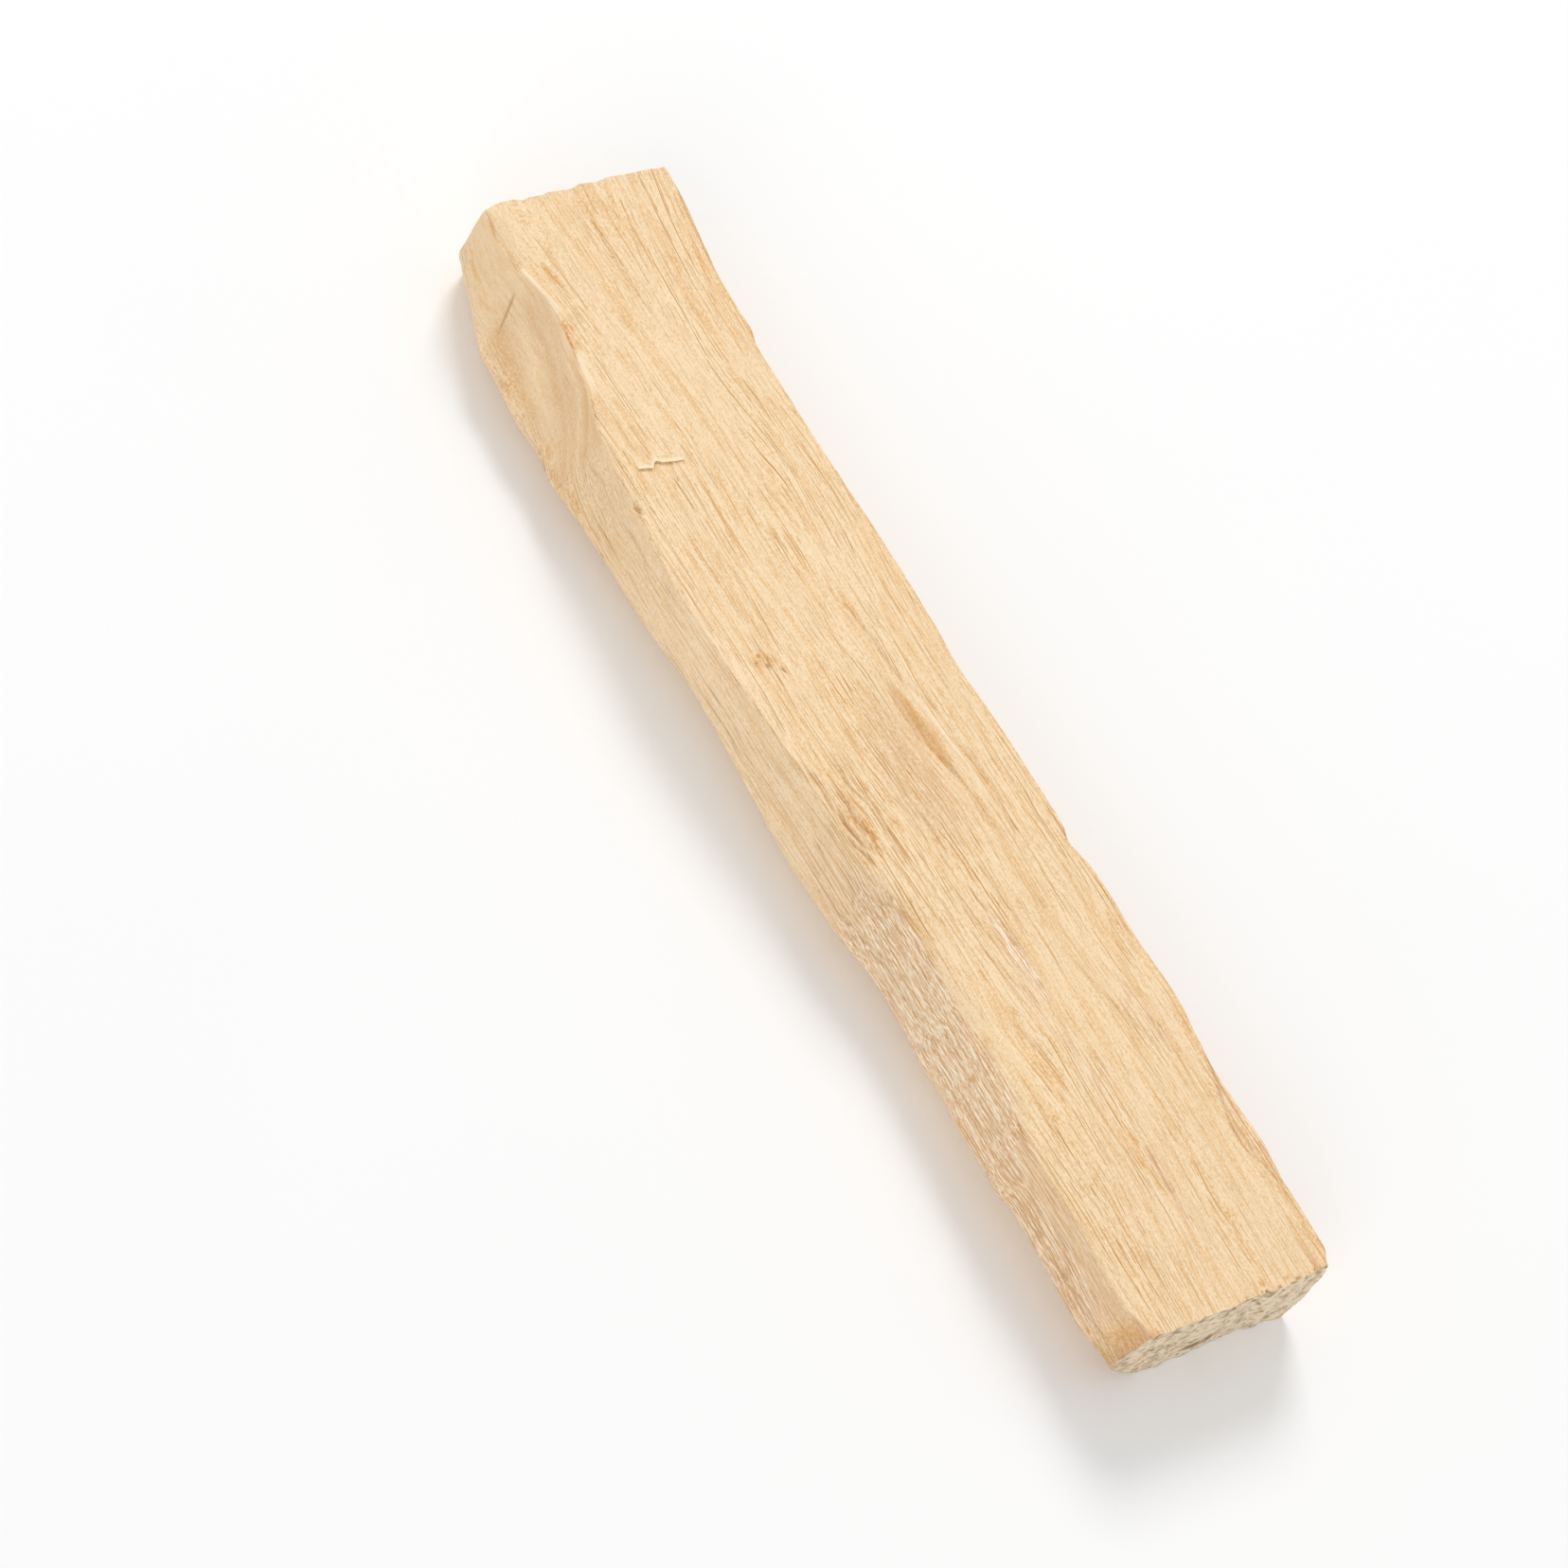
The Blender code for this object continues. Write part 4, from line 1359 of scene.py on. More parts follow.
    def worn(self, gap: Array, x: Array) -> Array:
        """How far the wide face bends down where its carved edge is worn round.

        Args:
            gap: distance from the edge.
            x: places along the stick.

        Returns:
            The fall at each place.
        """
        radius = 0.05 + 1.5 * (1.0 - step(x, -50.5, -47.2)) * step(x, -55.6, -53.0)
        for *run, wide in self.worn_runs:
            radius = radius + wide * band(x, *run)
        return 0.40 * radius * near_line(gap, radius) ** 2

    def wide_drop(self, x: Array, y: Array) -> Array:
        """How far the wide face lies below the thickness, without its finest marks.

        Args:
            x: places along the stick.
            y: places across it.

        Returns:
            The drop at each place.
        """
        drop = (self.scooped(x, y, self.scoops) + self.ledged(x, y, self.ledges)[0]
                + self.dented(x, y)[0] - self.ridged(x, y, 1.0))
        return (np.maximum(drop, 0.0) + self.ledged(x, y, self.small_ledges)[0]
                + self.notched(x, y) - self.torn(x, y)[0] + self.creased(x, y)[0]
                - self.strips(x, y - self.strayed(x, y), 20.0))

    def build(self) -> Piece:
        """Divide a box, carve it into the stick and paint what its materials read.

        Returns:
            The finished stick, without its materials.
        """
        low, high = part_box(STICK_NODE)
        piece = fresh(bpy.ops.mesh.primitive_cube_add, size=1.0, location=(low + high) / 2,
                      scale=high - low)
        only(piece)
        bpy.ops.object.transform_apply(location=True, rotation=True, scale=True)
        for axis, cuts, side in self.cuts:
            divide(piece, axis, cuts, side)
        points = self.laid_out(shares(piece))
        drop = self.carve_wide(points)
        self.carve_side(points)
        self.carve_plain(points)
        self.carve_foot(points)
        self.carve_ends(points)
        sunk = points.upper * self.carried(points.at, points.x, points.y, drop)
        place(piece, points.x, points.y, np.where(points.wide, points.z, points.z - sunk))
        self.stain(points)
        self.paint_grain(piece, points)
        settle(piece, "split_wood_stick", self.sharp)
        return piece

    def spaced(self, share: Array) -> Array:
        """Turn even shares of the length into stations that crowd where the detail is.

        Args:
            share: even shares of the length.

        Returns:
            Shares that lie closer together where the stations do.
        """
        fine = np.linspace(self.stations[0][0], self.stations[-1][0], 4000)
        gaps = np.interp(fine, *np.array(self.stations).T)
        reach = np.concatenate([[0.0], np.cumsum(0.5 * (1.0 / gaps[1:] + 1.0 / gaps[:-1]))])
        station = np.interp(share, reach / reach[-1], fine)
        return (station - fine[0]) / (fine[-1] - fine[0])

    def end_planes(self, y: Array, z: Array) -> tuple[Array, Array]:
        """x of the broken far end and of the sawn near end.

        Args:
            y: places across the stick.
            z: heights.

        Returns:
            x of the far end and of the near end.
        """
        far, near = (middle + slant * y + lean * z
                     for middle, slant, lean in (self.far_end, self.near_end))
        top = step(z, 3.0, self.thickness)
        far = far + smooth_line(self.far_edge, y) * top
        far = far + self.far_chip * step(-y, 5.6, 7.4) * step(z, 1.0, 5.5)
        far = far + 0.20 * noise(y / 1.1, z / 3.5, 61.0) * (1.0 - 0.9 * top)
        near = near + mix(smooth_line(self.near_foot, y), smooth_line(self.near_edge, y),
                          step(z, 1.0, 9.0))
        return far, near + 0.10 * (1.0 - top) * noise(y / 1.3, z / 2.5, 62.0)

    def carried(self, at: Array, x: Array, y: Array, values: Array) -> Array:
        """Carry what the wide face's rim holds down the sides and the ends.

        Args:
            at: each vertex's place in the divided box.
            x: its place along the stick.
            y: its place across it.
            values: what each vertex holds.

        Returns:
            The values, with the rim's under the rim.
        """
        total = values.copy()
        wide = Side.WIDE.holds(at)
        for side, run in ((Side.FAR, y), (Side.NEAR, y), (Side.CARVED, x), (Side.PLAIN, x)):
            held = side.holds(at)
            under, rim = held & ~wide, held & wide
            order = np.argsort(run[rim])
            total[under] = np.interp(run[under], run[rim][order], values[rim][order])
        return total

    def laid_out(self, at: Array) -> Points:
        """Lay the divided box's vertices out on the stick's plain form.

        Args:
            at: each vertex's place in the box, from 0 to 1 along every axis.

        Returns:
            The vertices, ready to be carved.
        """
        along, across = self.spaced(at[:, 0]), eased(at[:, 1], self.crowd_edges)
        height = np.where(at[:, 2] < 0.5, at[:, 2],
                          0.5 + 0.5 * eased(2.0 * at[:, 2] - 1.0, self.crowd_edges))
        x = mix(-0.5, 0.5, along) * self.length
        y, z = self.section(x, across, height)
        far_x, near_x = self.end_planes(y, z)
        x = mix(far_x, near_x, along)
        bent = y - self.strayed(x, y) + 0.25 * noise(x / 9.0, y / 2.0, 58.0)
        bent = np.where(Side.PLAIN.holds(at) & ~Side.WIDE.holds(at),
                        mix(bent, self.carried(at, x, y, bent), step(height, 0.0, 0.5)), bent)
        rise = z + 0.35 * wave(x / 21.0, 70.0)
        inside = step(along, 0.0, 0.02) * step(1.0 - along, 0.0, 0.02)
        return Points(
            at=at, height=height, x=x, y=y, z=z, near_x=near_x, bent=bent, rise=rise,
            slope=rise - smooth_line(self.figure_fall, x),
            edge_in=y - smooth_line(self.carved_edge, x),
            edge_out=smooth_line(self.plain_edge, x) - y,
            fade=inside * (1.0 - step(height, 0.8, 1.0)))

    def carve_wide(self, p: Points) -> Array:
        """Carve the wide face and mark its hollows.

        Args:
            p: the stick's vertices.

        Returns:
            How far the wide face drops at each of them.
        """
        x, y, wide = p.x, p.y, p.wide
        fall, lips = self.ledged(x, y, self.ledges)
        fine_fall, fine_lips = self.ledged(x, y, self.small_ledges)
        dent, dent_wall, dent_ridge = self.dented(x, y)
        hole = self.notched(x, y)
        flake, flake_shade, lip_highlight = self.torn(x, y)
        crease, crease_shade = self.creased(x, y)
        slit = self.slits(x, p.bent, *self.wide_slits)
        drop = self.scooped(x, y, self.scoops) + fall + dent - self.ridged(x, y, 1.0)
        calm = 1.0 - 0.8 * dent_wall
        drop = np.maximum(drop, 0.0) + fine_fall + hole - flake + crease
        drop = drop - calm * self.strips(x, p.bent, 20.0) + 0.07 * calm * slit
        torn_in = y - smooth_line(self.torn_edge, x)
        torn_band = band(x, *self.torn_run_x) * step(torn_in, 0.0, 0.2)
        torn_line = band(x, *self.torn_line_x) * near_line(torn_in, self.torn_width)
        drop = drop + self.torn_depth * torn_band
        # shade is painted in each pit
        for px, py, size, deep, dark in self.pits:
            pit = spot(x, y, px, py, 1.4 * size, size) ** 0.5
            p.mark("groove", 0.8 * dark * pit, wide)
            drop = drop + deep * pit
        drop = drop - self.crest_height * band(x, *self.crest_run) * band(
            p.edge_in, -0.2, 0.35, 0.35)
        drop = drop + self.rounded(p.edge_in, x, self.carved_seed) + self.worn(p.edge_in, x)
        drop = drop + self.rounded(p.edge_out, x, self.plain_seed)
        p.z = np.where(wide, p.z - drop, p.z)

        # Groove and amber in the slits, at the feet of lips and in the creases are painted shade,
        # as is amber under the flake's lip. Amber on the dent's wall is its tint together with
        # painted shade on the wall turned from the light. Cream on the dent's ridge and the
        # flake's lip is a painted highlight.
        streaked = 0.80 + 0.45 * noise(x / 6.0, p.bent / 0.16, 47.0)
        for name, values in (
                ("groove", 0.26 * slit ** 1.5), ("groove", 0.14 * lips + 0.12 * fine_lips),
                ("groove", 0.45 * np.maximum(crease_shade, torn_line)),
                ("amber", dent_wall * streaked), ("amber", 0.30 * lips + 0.40 * fine_lips),
                ("amber", 0.8 * crease_shade), ("amber", 0.4 * step(hole, 0.05, 0.3)),
                ("amber", 1.3 * flake_shade), ("amber", torn_line), ("amber", 0.6 * torn_band),
                ("sleek", 0.65 * dent_wall), ("silk", 0.6 * torn_band),
                ("cream", np.maximum(0.6 * dent_ridge, 0.8 * lip_highlight))):
            p.mark(name, values, wide)
        return drop

    def carve_side(self, p: Points) -> None:
        """Carve the carved side: its knife scoop, groove, silky run, crack and slits.

        Args:
            p: the stick's vertices.
        """
        x, z, rise, upper, flank = p.x, p.z, p.rise, p.upper, p.flank
        middle, half, deep = self.carve
        scoop = np.clip(1.0 - ((x - middle) / half) ** 2, 0.0, 1.0)
        knife = step(scoop, 0.0, 0.25) * step(upper, 0.02, 0.2)
        groove = np.exp(-((upper - self.groove_height) / self.groove_width) ** 2)
        over = step(z, *self.shelf_height)
        ledge = band(x, *self.shelf_run) * over
        calm = (1.0 - 0.85 * knife) * (1.0 - 0.7 * ledge)
        slit = self.slits(x, rise, *self.carved_slits) * calm
        stop = x - smooth_line(self.crack, z)
        crack = near_line(stop, self.crack_width) * band(z, 5.9, 7.4, 0.8)
        scooped = p.carved * (1.0 - step(x, -27.0, -20.0)) * step(self.thickness - z, 0.05, 0.5)
        cut = deep * scoop * 4.0 * upper * (1.0 - upper)
        cut = cut + self.groove_depth * step(x, self.groove_start, self.groove_full) * groove
        cut = cut + self.crack_depth * crack + self.ridged(x, z, 2.0) * p.fade + 0.13 * slit
        cut = cut + 0.9 * calm * mix(self.strips(x, rise, 25.0),
                                     self.strips(x, p.slope, 25.0), scooped)
        cut = cut + self.rounded(self.thickness - p.level, x, self.carved_seed)
        p.y = np.where(p.carved & ~p.foot, p.y + cut, p.y)

        low = p.height + 0.25 * noise(x / 5.0, rise / 0.4, 41.0)
        silk = step(x + 3.0 * noise(x / 6.0, rise / 0.4, 46.0), *self.silk_start)
        silk = silk * (1.0 - step(x, *self.silk_end)) * step(low, 0.05, 0.5)
        level = p.level - smooth_line(self.figure_fall, x) + 0.18 * noise(x / 2.5, z / 0.6, 53.0)
        brown = smooth_line(self.figure, level) + 0.3 * noise(x / 6.0, level / 0.35, 54.0)
        reach = knife * band(x, *self.figure_run)
        tan = 0.30 - 0.24 * step(x, -28.0, -22.0) + 0.40 * step(x, 38.0, 51.0) + 0.30 * ledge
        tan = tan * (0.45 + 0.55 * step(x, -49.0, -45.0)) + reach * (0.20 + 0.7 * brown)
        # groove in the slits and the crack is painted shade, and so is the crack's amber
        for name, values, where in (
                ("groove", 0.3 * slit ** 1.5, p.carved), ("groove", 0.55 * crack, flank),
                ("amber", 0.9 * crack, flank), ("amber", 0.6 * reach * brown, flank),
                ("silk", silk * (1.0 - 0.6 * step(x, 34.0, 38.0) * over), flank),
                ("sleek", np.maximum(0.7 * knife, 0.35 * ledge), p.carved),
                ("sleek", 0.8 * (1.0 - step(x, -48.0, -45.0)), p.carved),
                ("cream", 0.14 * band(x, -18.0, 6.0, 6.0), flank),
                ("tan", tan, flank), ("lined", 0.45 * ledge, flank), ("scooped", scooped, True)):
            p.mark(name, values, where)

    def carve_plain(self, p: Points) -> None:
        """Carve the plain side.

        Args:
            p: the stick's vertices.
        """
        slit = self.slits(p.x, p.rise, *self.plain_slits)
        rough = 2.0 * self.ridged(p.x, p.z, 4.0) * p.fade + self.strips(p.x, p.rise, 30.0)
        rough = rough - 0.09 * slit
        rough = rough - self.rounded(self.thickness - p.level, p.x, self.plain_seed)
        p.y = np.where(p.plain & ~p.foot, p.y + rough, p.y)
        # painted shade in the slits
        p.mark("groove", 0.3 * slit ** 1.5, p.plain)
        p.mark("amber", 0.6 * slit, p.plain & ~p.wide)

    def carve_foot(self, p: Points) -> None:
        """Hollow the face that it lies on, which keeps flat lands at the floor.

        Args:
            p: the stick's vertices.
        """
        slit = self.slits(p.x, p.bent, *self.foot_slits)
        hollow = self.scooped(p.x, p.y, self.foot_hollows)
        lands = step(hollow, 0.0, 0.12)
        under = hollow + lands * (0.06 + self.strips(p.x, p.bent, 35.0)) + 0.1 * slit
        p.z = np.where(p.foot, np.maximum(under, 0.0), p.z)
        # painted shade in the slits
        p.mark("groove", 0.3 * slit ** 1.5, p.foot)
        p.mark("amber", 0.6 * slit, p.foot)

    def carve_ends(self, p: Points) -> None:
        """Roughen the broken far end, saw the near end and mark its dark places.

        Args:
            p: the stick's vertices.
        """
        y, z = p.y, p.z
        crumbs = (step(p.x, p.near_x - 0.45, p.near_x - 0.15) * band(y, 2.0, 9.8, 1.2)
                  * step(wave(y / 0.28, 45.0), -0.1, 0.4))
        p.mark("groove", 0.75 * crumbs, p.wide)
        rim = np.minimum(np.minimum(p.at[:, 1], 1.0 - p.at[:, 1]) * self.core_width,
                         np.minimum(p.at[:, 2], 1.0 - p.at[:, 2]) * self.thickness)
        core = step(rim, 0.0, 0.4)
        broken = (0.30 * noise(y / 2.8, z / 3.4, 63.0) + 0.07 * noise(y / 0.30, z / 0.9, 64.0)
                  + 0.05 * hashed(np.floor(y / 0.3), np.floor(z / 1.7), 65.0))
        pocks = step(noise(y / 0.3, z / 0.3, 66.0) + 0.6 * noise(y / 3.0, z / 1.1, 67.0),
                     0.45, 0.8) * core
        sawn = (0.03 * noise((y + 2.2 * z) / 0.5, (2.2 * y - z) / 9.0, 68.0)
                + 0.03 * noise(y / 0.4, z / 0.4, 69.0) + 0.09 * pocks)
        p.x = np.where(p.far, p.x - broken * (0.08 + 0.92 * core), p.x)
        p.x = np.where(p.near, p.x - sawn, p.x)

        dark = spot(y - 0.4 * (z - 1.5), z, *self.low_mark) ** 0.5
        dark = dark * step(noise(y / 0.6, z / 0.3, 44.0), -0.5, 0.2)
        dark = np.maximum(dark, 0.7 * band(z, 8.4, 9.2, 0.4) * step(
            noise(y / 0.35, z / 0.4, 43.0), 0.1, 0.5))
        for mark in self.end_marks:
            patch = spot(y, z, *mark) ** 0.5
            dark = np.maximum(dark, patch * step(noise(y / 0.4, z / 0.3, 42.0), -0.3, 0.3))
        p.masks["groove"] = np.where(p.near, np.maximum(0.20 * pocks, 0.9 * dark),
                                     p.masks["groove"])

    def stain(self, p: Points) -> None:
        """Paint what has no depth of its own: stains, chips, painted highlights, glints, ends and
        silk.

        Args:
            p: the stick's vertices.
        """
        x, y, z, bent, wide, flank = p.x, p.y, p.z, p.bent, p.wide, p.flank
        wavy = bent + 0.35 * noise(x / 2.6, bent / 1.4, 48.0)
        gold = step(noise(x / 5.0, wavy / 0.15, 49.0), 0.1, 0.6)
        ragged = spot(x, y, *self.ragged) ** 0.5
        streaks = (step(noise(x / 9.0, bent / 0.35, 55.0), -0.1, 0.7)
                   * (band(x, -56.0, -38.0, 6.0) + band(x, 44.0, 56.0, 4.0)))
        crests = band(x, -48.5, -44.8, 1.0) + band(x, -39.6, -37.0, 1.0)
        over = smooth_line(self.silk_edge, x) - y + 0.25 * noise(x / 5.0, bent / 0.3, 57.0)
        for name, values in (
                ("amber", self.spotted(x, bent, self.stains)),
                ("cream", self.spotted(x, bent, self.chips)),
                ("silk", self.spotted(x, bent, self.glints)),
                ("amber", 0.7 * ragged * gold), ("groove", 0.35 * ragged * gold ** 3),
                ("groove", 0.42 * spot(x, y, *self.broken_out) ** 0.5),
                ("amber", 0.4 * band(p.edge_out, -0.2, 0.2, 0.4)),
                ("amber", 0.6 * band(p.edge_out, -1.0, 0.8, 1.2) * streaks),
                # painted highlight along the crests of the carved edge
                ("cream", 0.55 * crests * band(p.edge_in, 0.1, 0.5, 0.3)),
                ("silk", band(x, 13.0, 36.0, 4.0) * step(over, -0.5, 0.5)),
                # painted shade in the hollow beside the dent, and a little tan towards both ends
                ("tan", 0.9 * spot(x, y, *self.valley_shade) ** 0.5
                 + 0.14 * (1.0 - band(x, -38.0, 30.0, 10.0)))):
            p.mark(name, values, wide)
        for *at, strong in self.side_stains:
            p.mark("amber", strong * spot(x, z, *at), flank)

        golden = step(x + 0.7 * noise(x / 0.8, p.rise / 0.6, 56.0) + 0.25 * (6.0 - z), 50.4, 53.6)
        golden = np.where(wide, step(x, 52.4, 53.8) * (1.0 - step(p.edge_in, 0.4, 1.3)),
                          golden * p.carved)
        p.mark("amber", 0.6 * golden)
        p.mark("groove", 0.28 * golden)

        lined = p.masks["lined"] + 0.55 + 0.40 * noise(x / 8.0, bent / 1.2, 52.0)
        for *at, strong in self.lined_spots:
            lined = lined + wide * strong * spot(x, y, *at)
        p.masks["lined"] = lined
        # painted glints wherever the fibres are silky
        p.masks["sheen_fleck"] = (p.masks["silk"] * (wide | p.carved)
                            * (0.35 + 0.65 * band(x, 14.0, 27.0, 5.0)))

    def paint_grain(self, piece: Piece, p: Points) -> None:
        """Paint the grain, the figure of the knife scoop and the masks on the piece.

        Args:
            piece: the stick.
            p: the stick's vertices.
        """
        past = 2.0 * (smooth_line(self.carved_belly, p.x, 2) - p.level)
        past = np.where((p.at[:, 2] < 0.5) & (p.carved | p.foot), past, 0.0)
        paint(piece, "grain", np.stack([p.x, p.bent, p.rise + past], axis=1))
        paint(piece, "figured", np.stack([p.x, p.bent, p.slope + past], axis=1))
        for name, values in p.masks.items():
            paint(piece, name, np.clip(values, 0.0, 1.0))

    def dress(self, piece: Piece, *materials: Material) -> None:
        """Give the long faces, the sawn end and the broken end their materials.

        Args:
            piece: the stick.
            materials: for the long faces, the sawn end and the broken end.
        """
        for material in materials:
            piece.data.materials.append(material)
        tilt = rows_of(piece.data.polygons, "normal")[:, 0]
        middle = rows_of(piece.data.polygons, "center")[:, 0] / MM
        reach = 0.5 * self.length - self.end_band
        index = np.zeros(len(tilt), int)
        index[(middle > reach) & (tilt > self.sawn_tilt)] = 1
        index[(middle < -reach) & (tilt < -self.broken_tilt)] = 2
        piece.data.polygons.foreach_set("material_index", index)
        piece.data.update()


@dataclass
class TornFlake:
    """The thin curled lip of wood that stands up where the split tore across the grain.

    Sizes are in millimetres; the grid has its cells along and across the stick.
    """

    thickness: float = 0.04
    across: int = 84
    along: int = 9
    low: float = -5.95       # where it starts across the stick
    high: float = -1.85      # where it ends
    root: float = 0.75
    overhang: float = 0.02
    curl: float = 0.03
    back: float = 0.14       # how far behind its lip the wood under it is read
    bite: float = 0.06       # how deep its root sits in that wood
    clear: float = 0.01      # how far it stands off the wood in front
    sharp: float = 60.0

    def build(self, stick: SplitStick) -> Piece:
        """Bend a grid along the torn line and give it a thickness.

        Args:
            stick: the stick that the flake is torn from.

        Returns:
            The finished flake.
        """
        piece = fresh(bpy.ops.mesh.primitive_grid_add, x_subdivisions=self.along,
                      y_subdivisions=self.across, size=1.0)
        run, across = rows_of(piece.data.vertices)[:, :2].T + 0.5
        y = mix(self.low, self.high, across)
        tip = smooth_line(stick.torn_lip, y)
        x = tip - self.root + (self.root + self.overhang) * run
        ground = stick.thickness - stick.wide_drop(np.minimum(x, tip - self.back), y)
        lift = mix(-self.bite, self.clear, step(run, 0.0, 0.3))
        curl = self.curl * (1.0 + 0.6 * wave(y / 0.4, 81.0))
        place(piece, x, y, ground + lift + curl * run ** 3)
        only(piece)
        sheet = piece.modifiers.new("sheet", "SOLIDIFY")
        sheet.thickness = self.thickness * MM
        sheet.offset = 0.0
        bpy.ops.object.modifier_apply(modifier=sheet.name)
        settle(piece, "torn_flake", self.sharp)
        # painted highlight on the flake's top
        paint_plain(piece, cream=np.tile(0.8 * step(run, 0.4, 0.8), 2))
        return piece


@dataclass
class Splinters:
    """Short fibres that have come loose from the wide face."""

    seed: int = 21
    sides: int = 6
    rings: int = 5
    loose: int = 26
    sunk: float = 0.03
    sharp: float = 60.0
    # Where the placed ones lie: x, y, z, length, thickness, rise and swing in radians
    fixed: Table = (
        (-30.6, -6.2, 9.3, 1.6, 0.09, 0.2, 0.05), (-27.2, -3.2, 9.2, 1.3, 0.07, 0.35, -0.25),
        (-25.6, -8, 8.95, 1.1, 0.09, 0.3, 0.25), (-24, -8.1, 8.95, 0.9, 0.08, 0.45, -0.2),
        (3.4, -6.6, 9.15, 2.6, 0.12, 0.05, 0.05), (5.8, -6.1, 9.1, 2.2, 0.1, 0.08, 0.1))
    # What the others are drawn from, in the same order without z
    drawn: tuple[Pair, ...] = (
        (-53.0, 52.0), (-5.0, 9.5), (0.8, 2.6), (0.05, 0.08), (0.0, 0.10), (-0.08, 0.08))

    def build(self, stick: SplitStick) -> Piece:
        """Model one splinter, then lay copies of it and join them.

        Args:
            stick: the stick that they lie on.

        Returns:
            The splinters, joined to one piece.
        """
        draw = np.random.default_rng(self.seed)
        rows = list(self.fixed)
        for _ in range(self.loose):
            x, y, *shape = (draw.uniform(*ends) for ends in self.drawn)
            drop = stick.wide_drop(np.array([x]), np.array([y]))[0]
            rows.append((x, y, stick.thickness - float(drop) - self.sunk, *shape))
        first = fresh(bpy.ops.mesh.primitive_cylinder_add, vertices=self.sides, radius=0.5,
                      depth=1.0, end_fill_type="NGON")
        divide(first, 2, self.rings)
        at = rows_of(first.data.vertices)
        pieces = [first]
        for _ in rows[1:]:
            pieces.append(bpy.data.objects.new("splinter", first.data.copy()))
            bpy.context.scene.collection.objects.link(pieces[-1])
        only(first)
        for piece, row in zip(pieces, rows):
            place(piece, *self.bent(at, *row))
            piece.select_set(True)
        bpy.ops.object.join()
        settle(first, "loose_splinters", self.sharp)
        paint_plain(first)
        return first

    @staticmethod
    def bent(at: Array, x: float, y: float, z: float, length: float, thick: float,
             rise: float, swing: float) -> tuple[Array, ...]:
        """Taper a unit cylinder to both ends and lay it along the grain with a slight bend.

        Args:
            at: the cylinder's vertices.
            x: the splinter's place.
            y: its place across the stick.
            z: its height.
            length: its length.
            thick: its thickness.
            rise: how steeply it stands, in radians.
            swing: how far it turns off the grain, in radians.

        Returns:
            x, y and z of its vertices.
        """
        run = at[:, 2]
        taper = np.clip(1.0 - (2.0 * np.abs(run)) ** 3, 0.12, 1.0) * thick
        along = length * run
        lift = math.tan(rise) * (along + 0.5 * length) - 0.06 * (1.0 - (2.0 * run) ** 2)
        return (x + along, y + math.tan(swing) * along + taper * at[:, 0],
                z + lift + 0.7 * taper * at[:, 1])


# ---------------------------------------------------------------- the studio


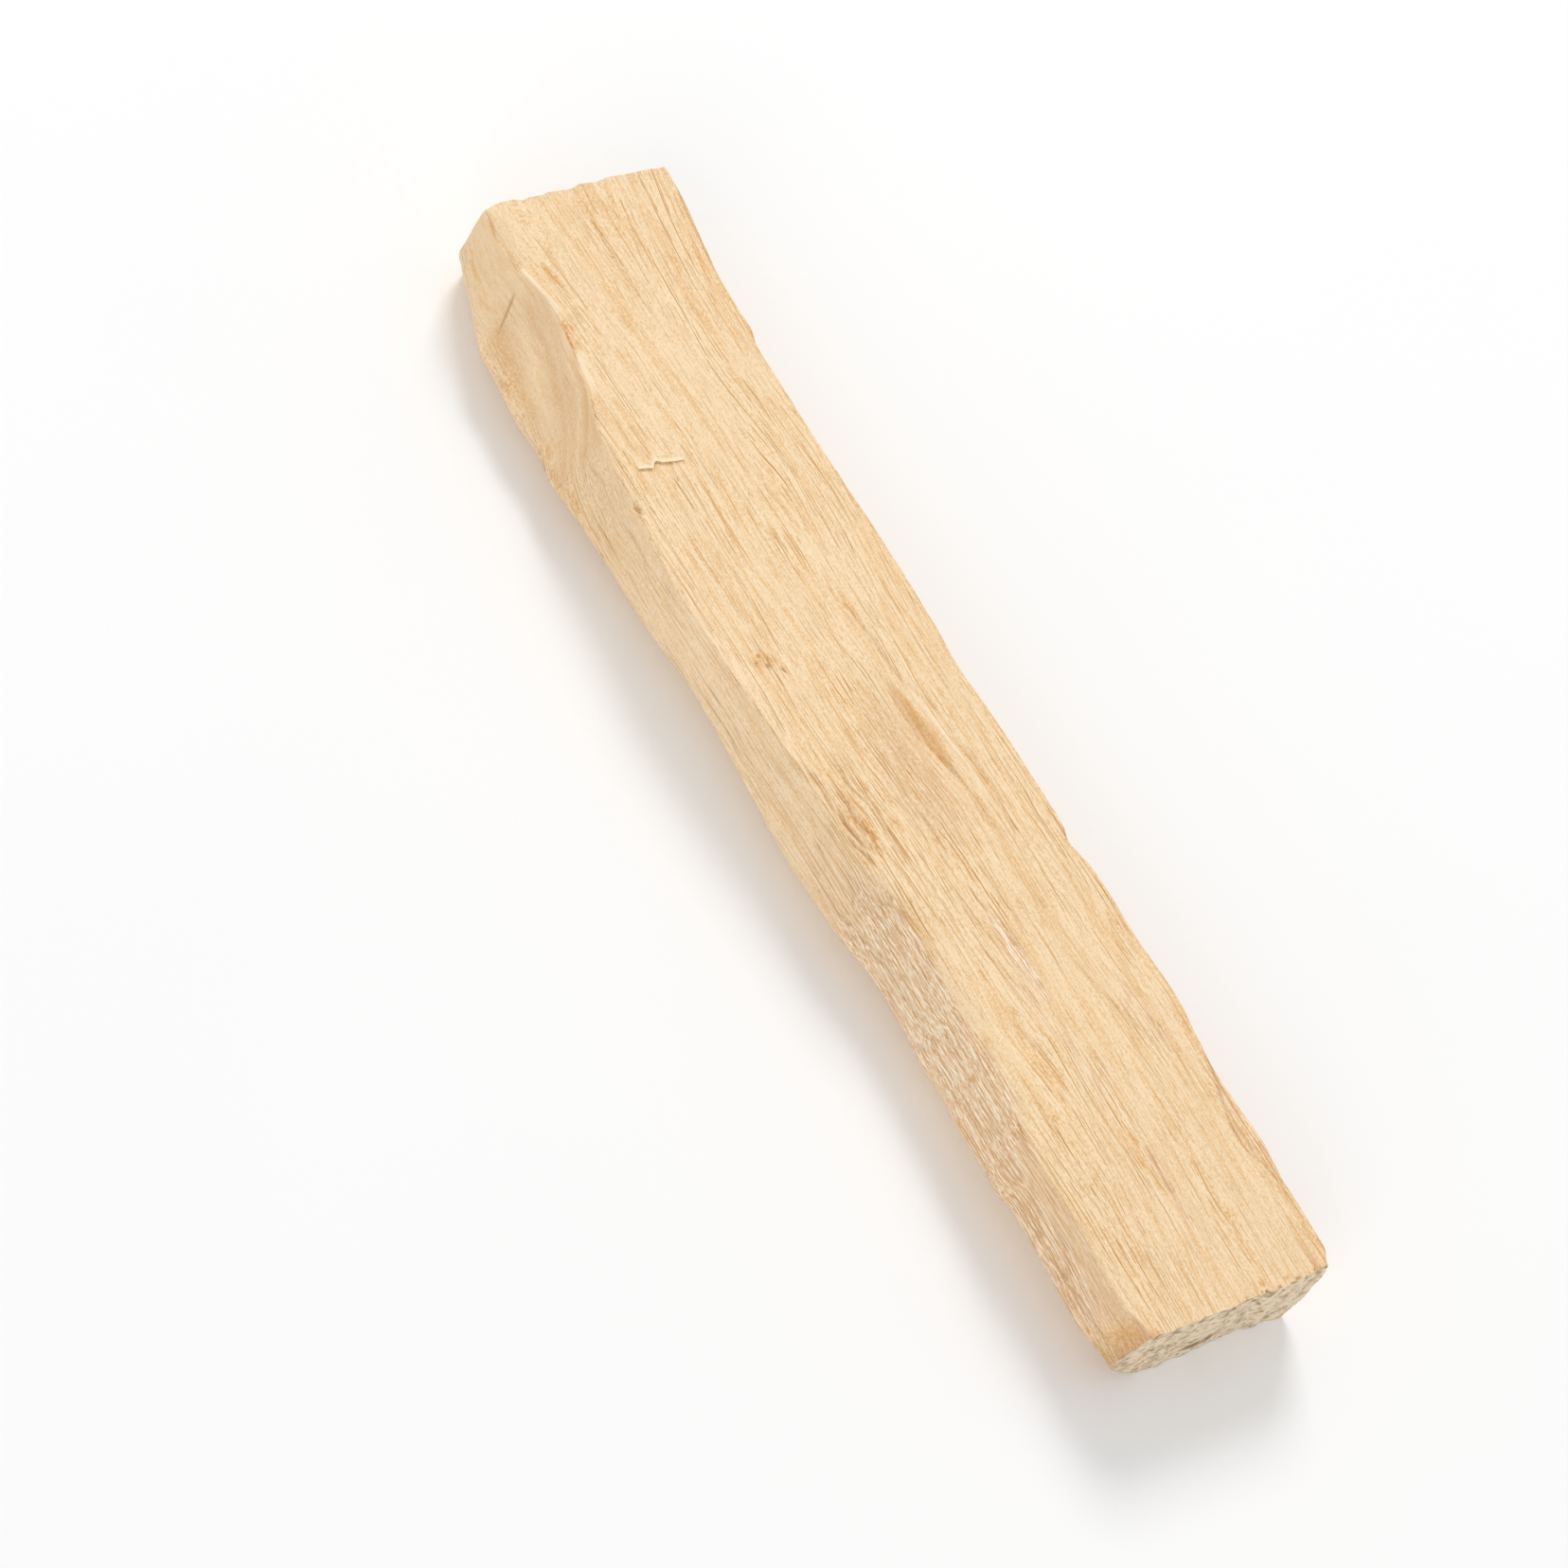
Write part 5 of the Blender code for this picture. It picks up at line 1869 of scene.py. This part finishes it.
@dataclass
class Studio:
    """Floor, lights and camera."""

    eye: Point = (120.03, -208.33, 384.69)
    right: Point = (0.4945, 0.8233, 0.2784)
    down: Point = (0.8261, -0.3458, -0.4448)
    back: Point = (0.27, -0.45, 0.8512)
    lens: float = 127.17
    film: float = 36.0
    floor_size: float = 4.0
    floor_grey: float = 0.955
    floor_sway: float = 0.004
    floor_cloud: float = 0.05
    floor_roughness: float = 0.9
    floor_gloss: float = 0.1
    sky: Colour = (1.0, 1.0, 1.0, 1.0)
    sky_strength: float = 0.66
    # Softboxes: name, direction, distance and size in metres, and power in watts
    lamps: tuple[tuple[str, Point, float, float, float], ...] = (
        ("key", (-0.60, 0.42, 0.68), 1.6, 0.55, 11.0),
        ("fill", (0.45, -0.72, 0.50), 1.8, 1.2, 6.0))

    def camera(self) -> None:
        """Put the camera at the photograph's viewing angle."""
        lens = bpy.data.cameras.new("camera")
        lens.lens = self.lens
        lens.sensor_width = self.film
        lens.clip_start = 0.01
        made = bpy.data.objects.new("camera", lens)
        bpy.context.scene.collection.objects.link(made)
        turn = Matrix((self.right, [-v for v in self.down], self.back)).transposed()
        made.matrix_world = Matrix.Translation(Vector(self.eye) * MM) @ turn.to_4x4()
        bpy.context.scene.camera = made

    def floor(self) -> None:
        """Lay a wide pale floor."""
        made = fresh(bpy.ops.mesh.primitive_plane_add, size=self.floor_size)
        made.name = "floor"
        material, graph = new_material("pale_floor")
        floor_at = graph.node("ShaderNodeTexCoord").outputs["Object"]
        cloud = graph.noise(floor_at, self.floor_cloud, self.floor_cloud)
        grey = graph.ranged(cloud, 0.3, 0.7, self.floor_grey - self.floor_sway,
                            self.floor_grey + self.floor_sway)
        colour = graph.node("ShaderNodeCombineColor", grey, grey, grey).outputs[0]
        graph.surface(colour, self.floor_roughness, self.floor_gloss)
        made.data.materials.append(material)

    def light(self) -> None:
        """Light the stick softly from the far end and fill it from the carved side."""
        world = bpy.data.worlds.new("studio")
        bpy.context.scene.world = world
        world.use_nodes = True
        ground = world.node_tree.nodes["Background"]
        ground.inputs["Color"].default_value = self.sky
        ground.inputs["Strength"].default_value = self.sky_strength
        for name, towards, distance, size, power in self.lamps:
            box = bpy.data.lights.new(name, "AREA")
            box.shape = "SQUARE"
            box.size = size
            box.energy = power
            made = bpy.data.objects.new(name, box)
            bpy.context.scene.collection.objects.link(made)
            away = Vector(towards).normalized()
            made.location = away * distance
            made.rotation_euler = away.to_track_quat("Z", "Y").to_euler()
        bpy.context.scene.view_settings.view_transform = "Standard"


def report(piece: Piece, body: str) -> None:
    """Let a finished piece ride on its body and log its size.

    Args:
        piece: the finished piece.
        body: the body that it moves with.
    """
    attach(piece, body)
    faces = sum(len(face.vertices) - 2 for face in piece.data.polygons)
    log.info("%s rides on %s with %d triangles", piece.name, body, faces)


def main() -> None:
    """Build the stick, its torn pieces and the studio."""
    logging.basicConfig(level=logging.INFO, format="%(name)s: %(message)s")
    wood = SplitWood().material(fibre_group())
    pores = pore_group()
    stick = SplitStick()
    body = stick.build()
    stick.dress(body, wood, EndGrain().material(pores), BROKEN_END.material(pores))
    flake = TornFlake().build(stick)
    splinters = Splinters().build(stick)
    for piece in (flake, splinters):
        piece.data.materials.clear()
        piece.data.materials.append(wood)
    for piece in (body, flake, splinters):
        report(piece, "root")
    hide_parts(STICK_NODE)

    studio = Studio()
    studio.floor()
    studio.light()
    studio.camera()


if __name__ == "__main__":
    main()
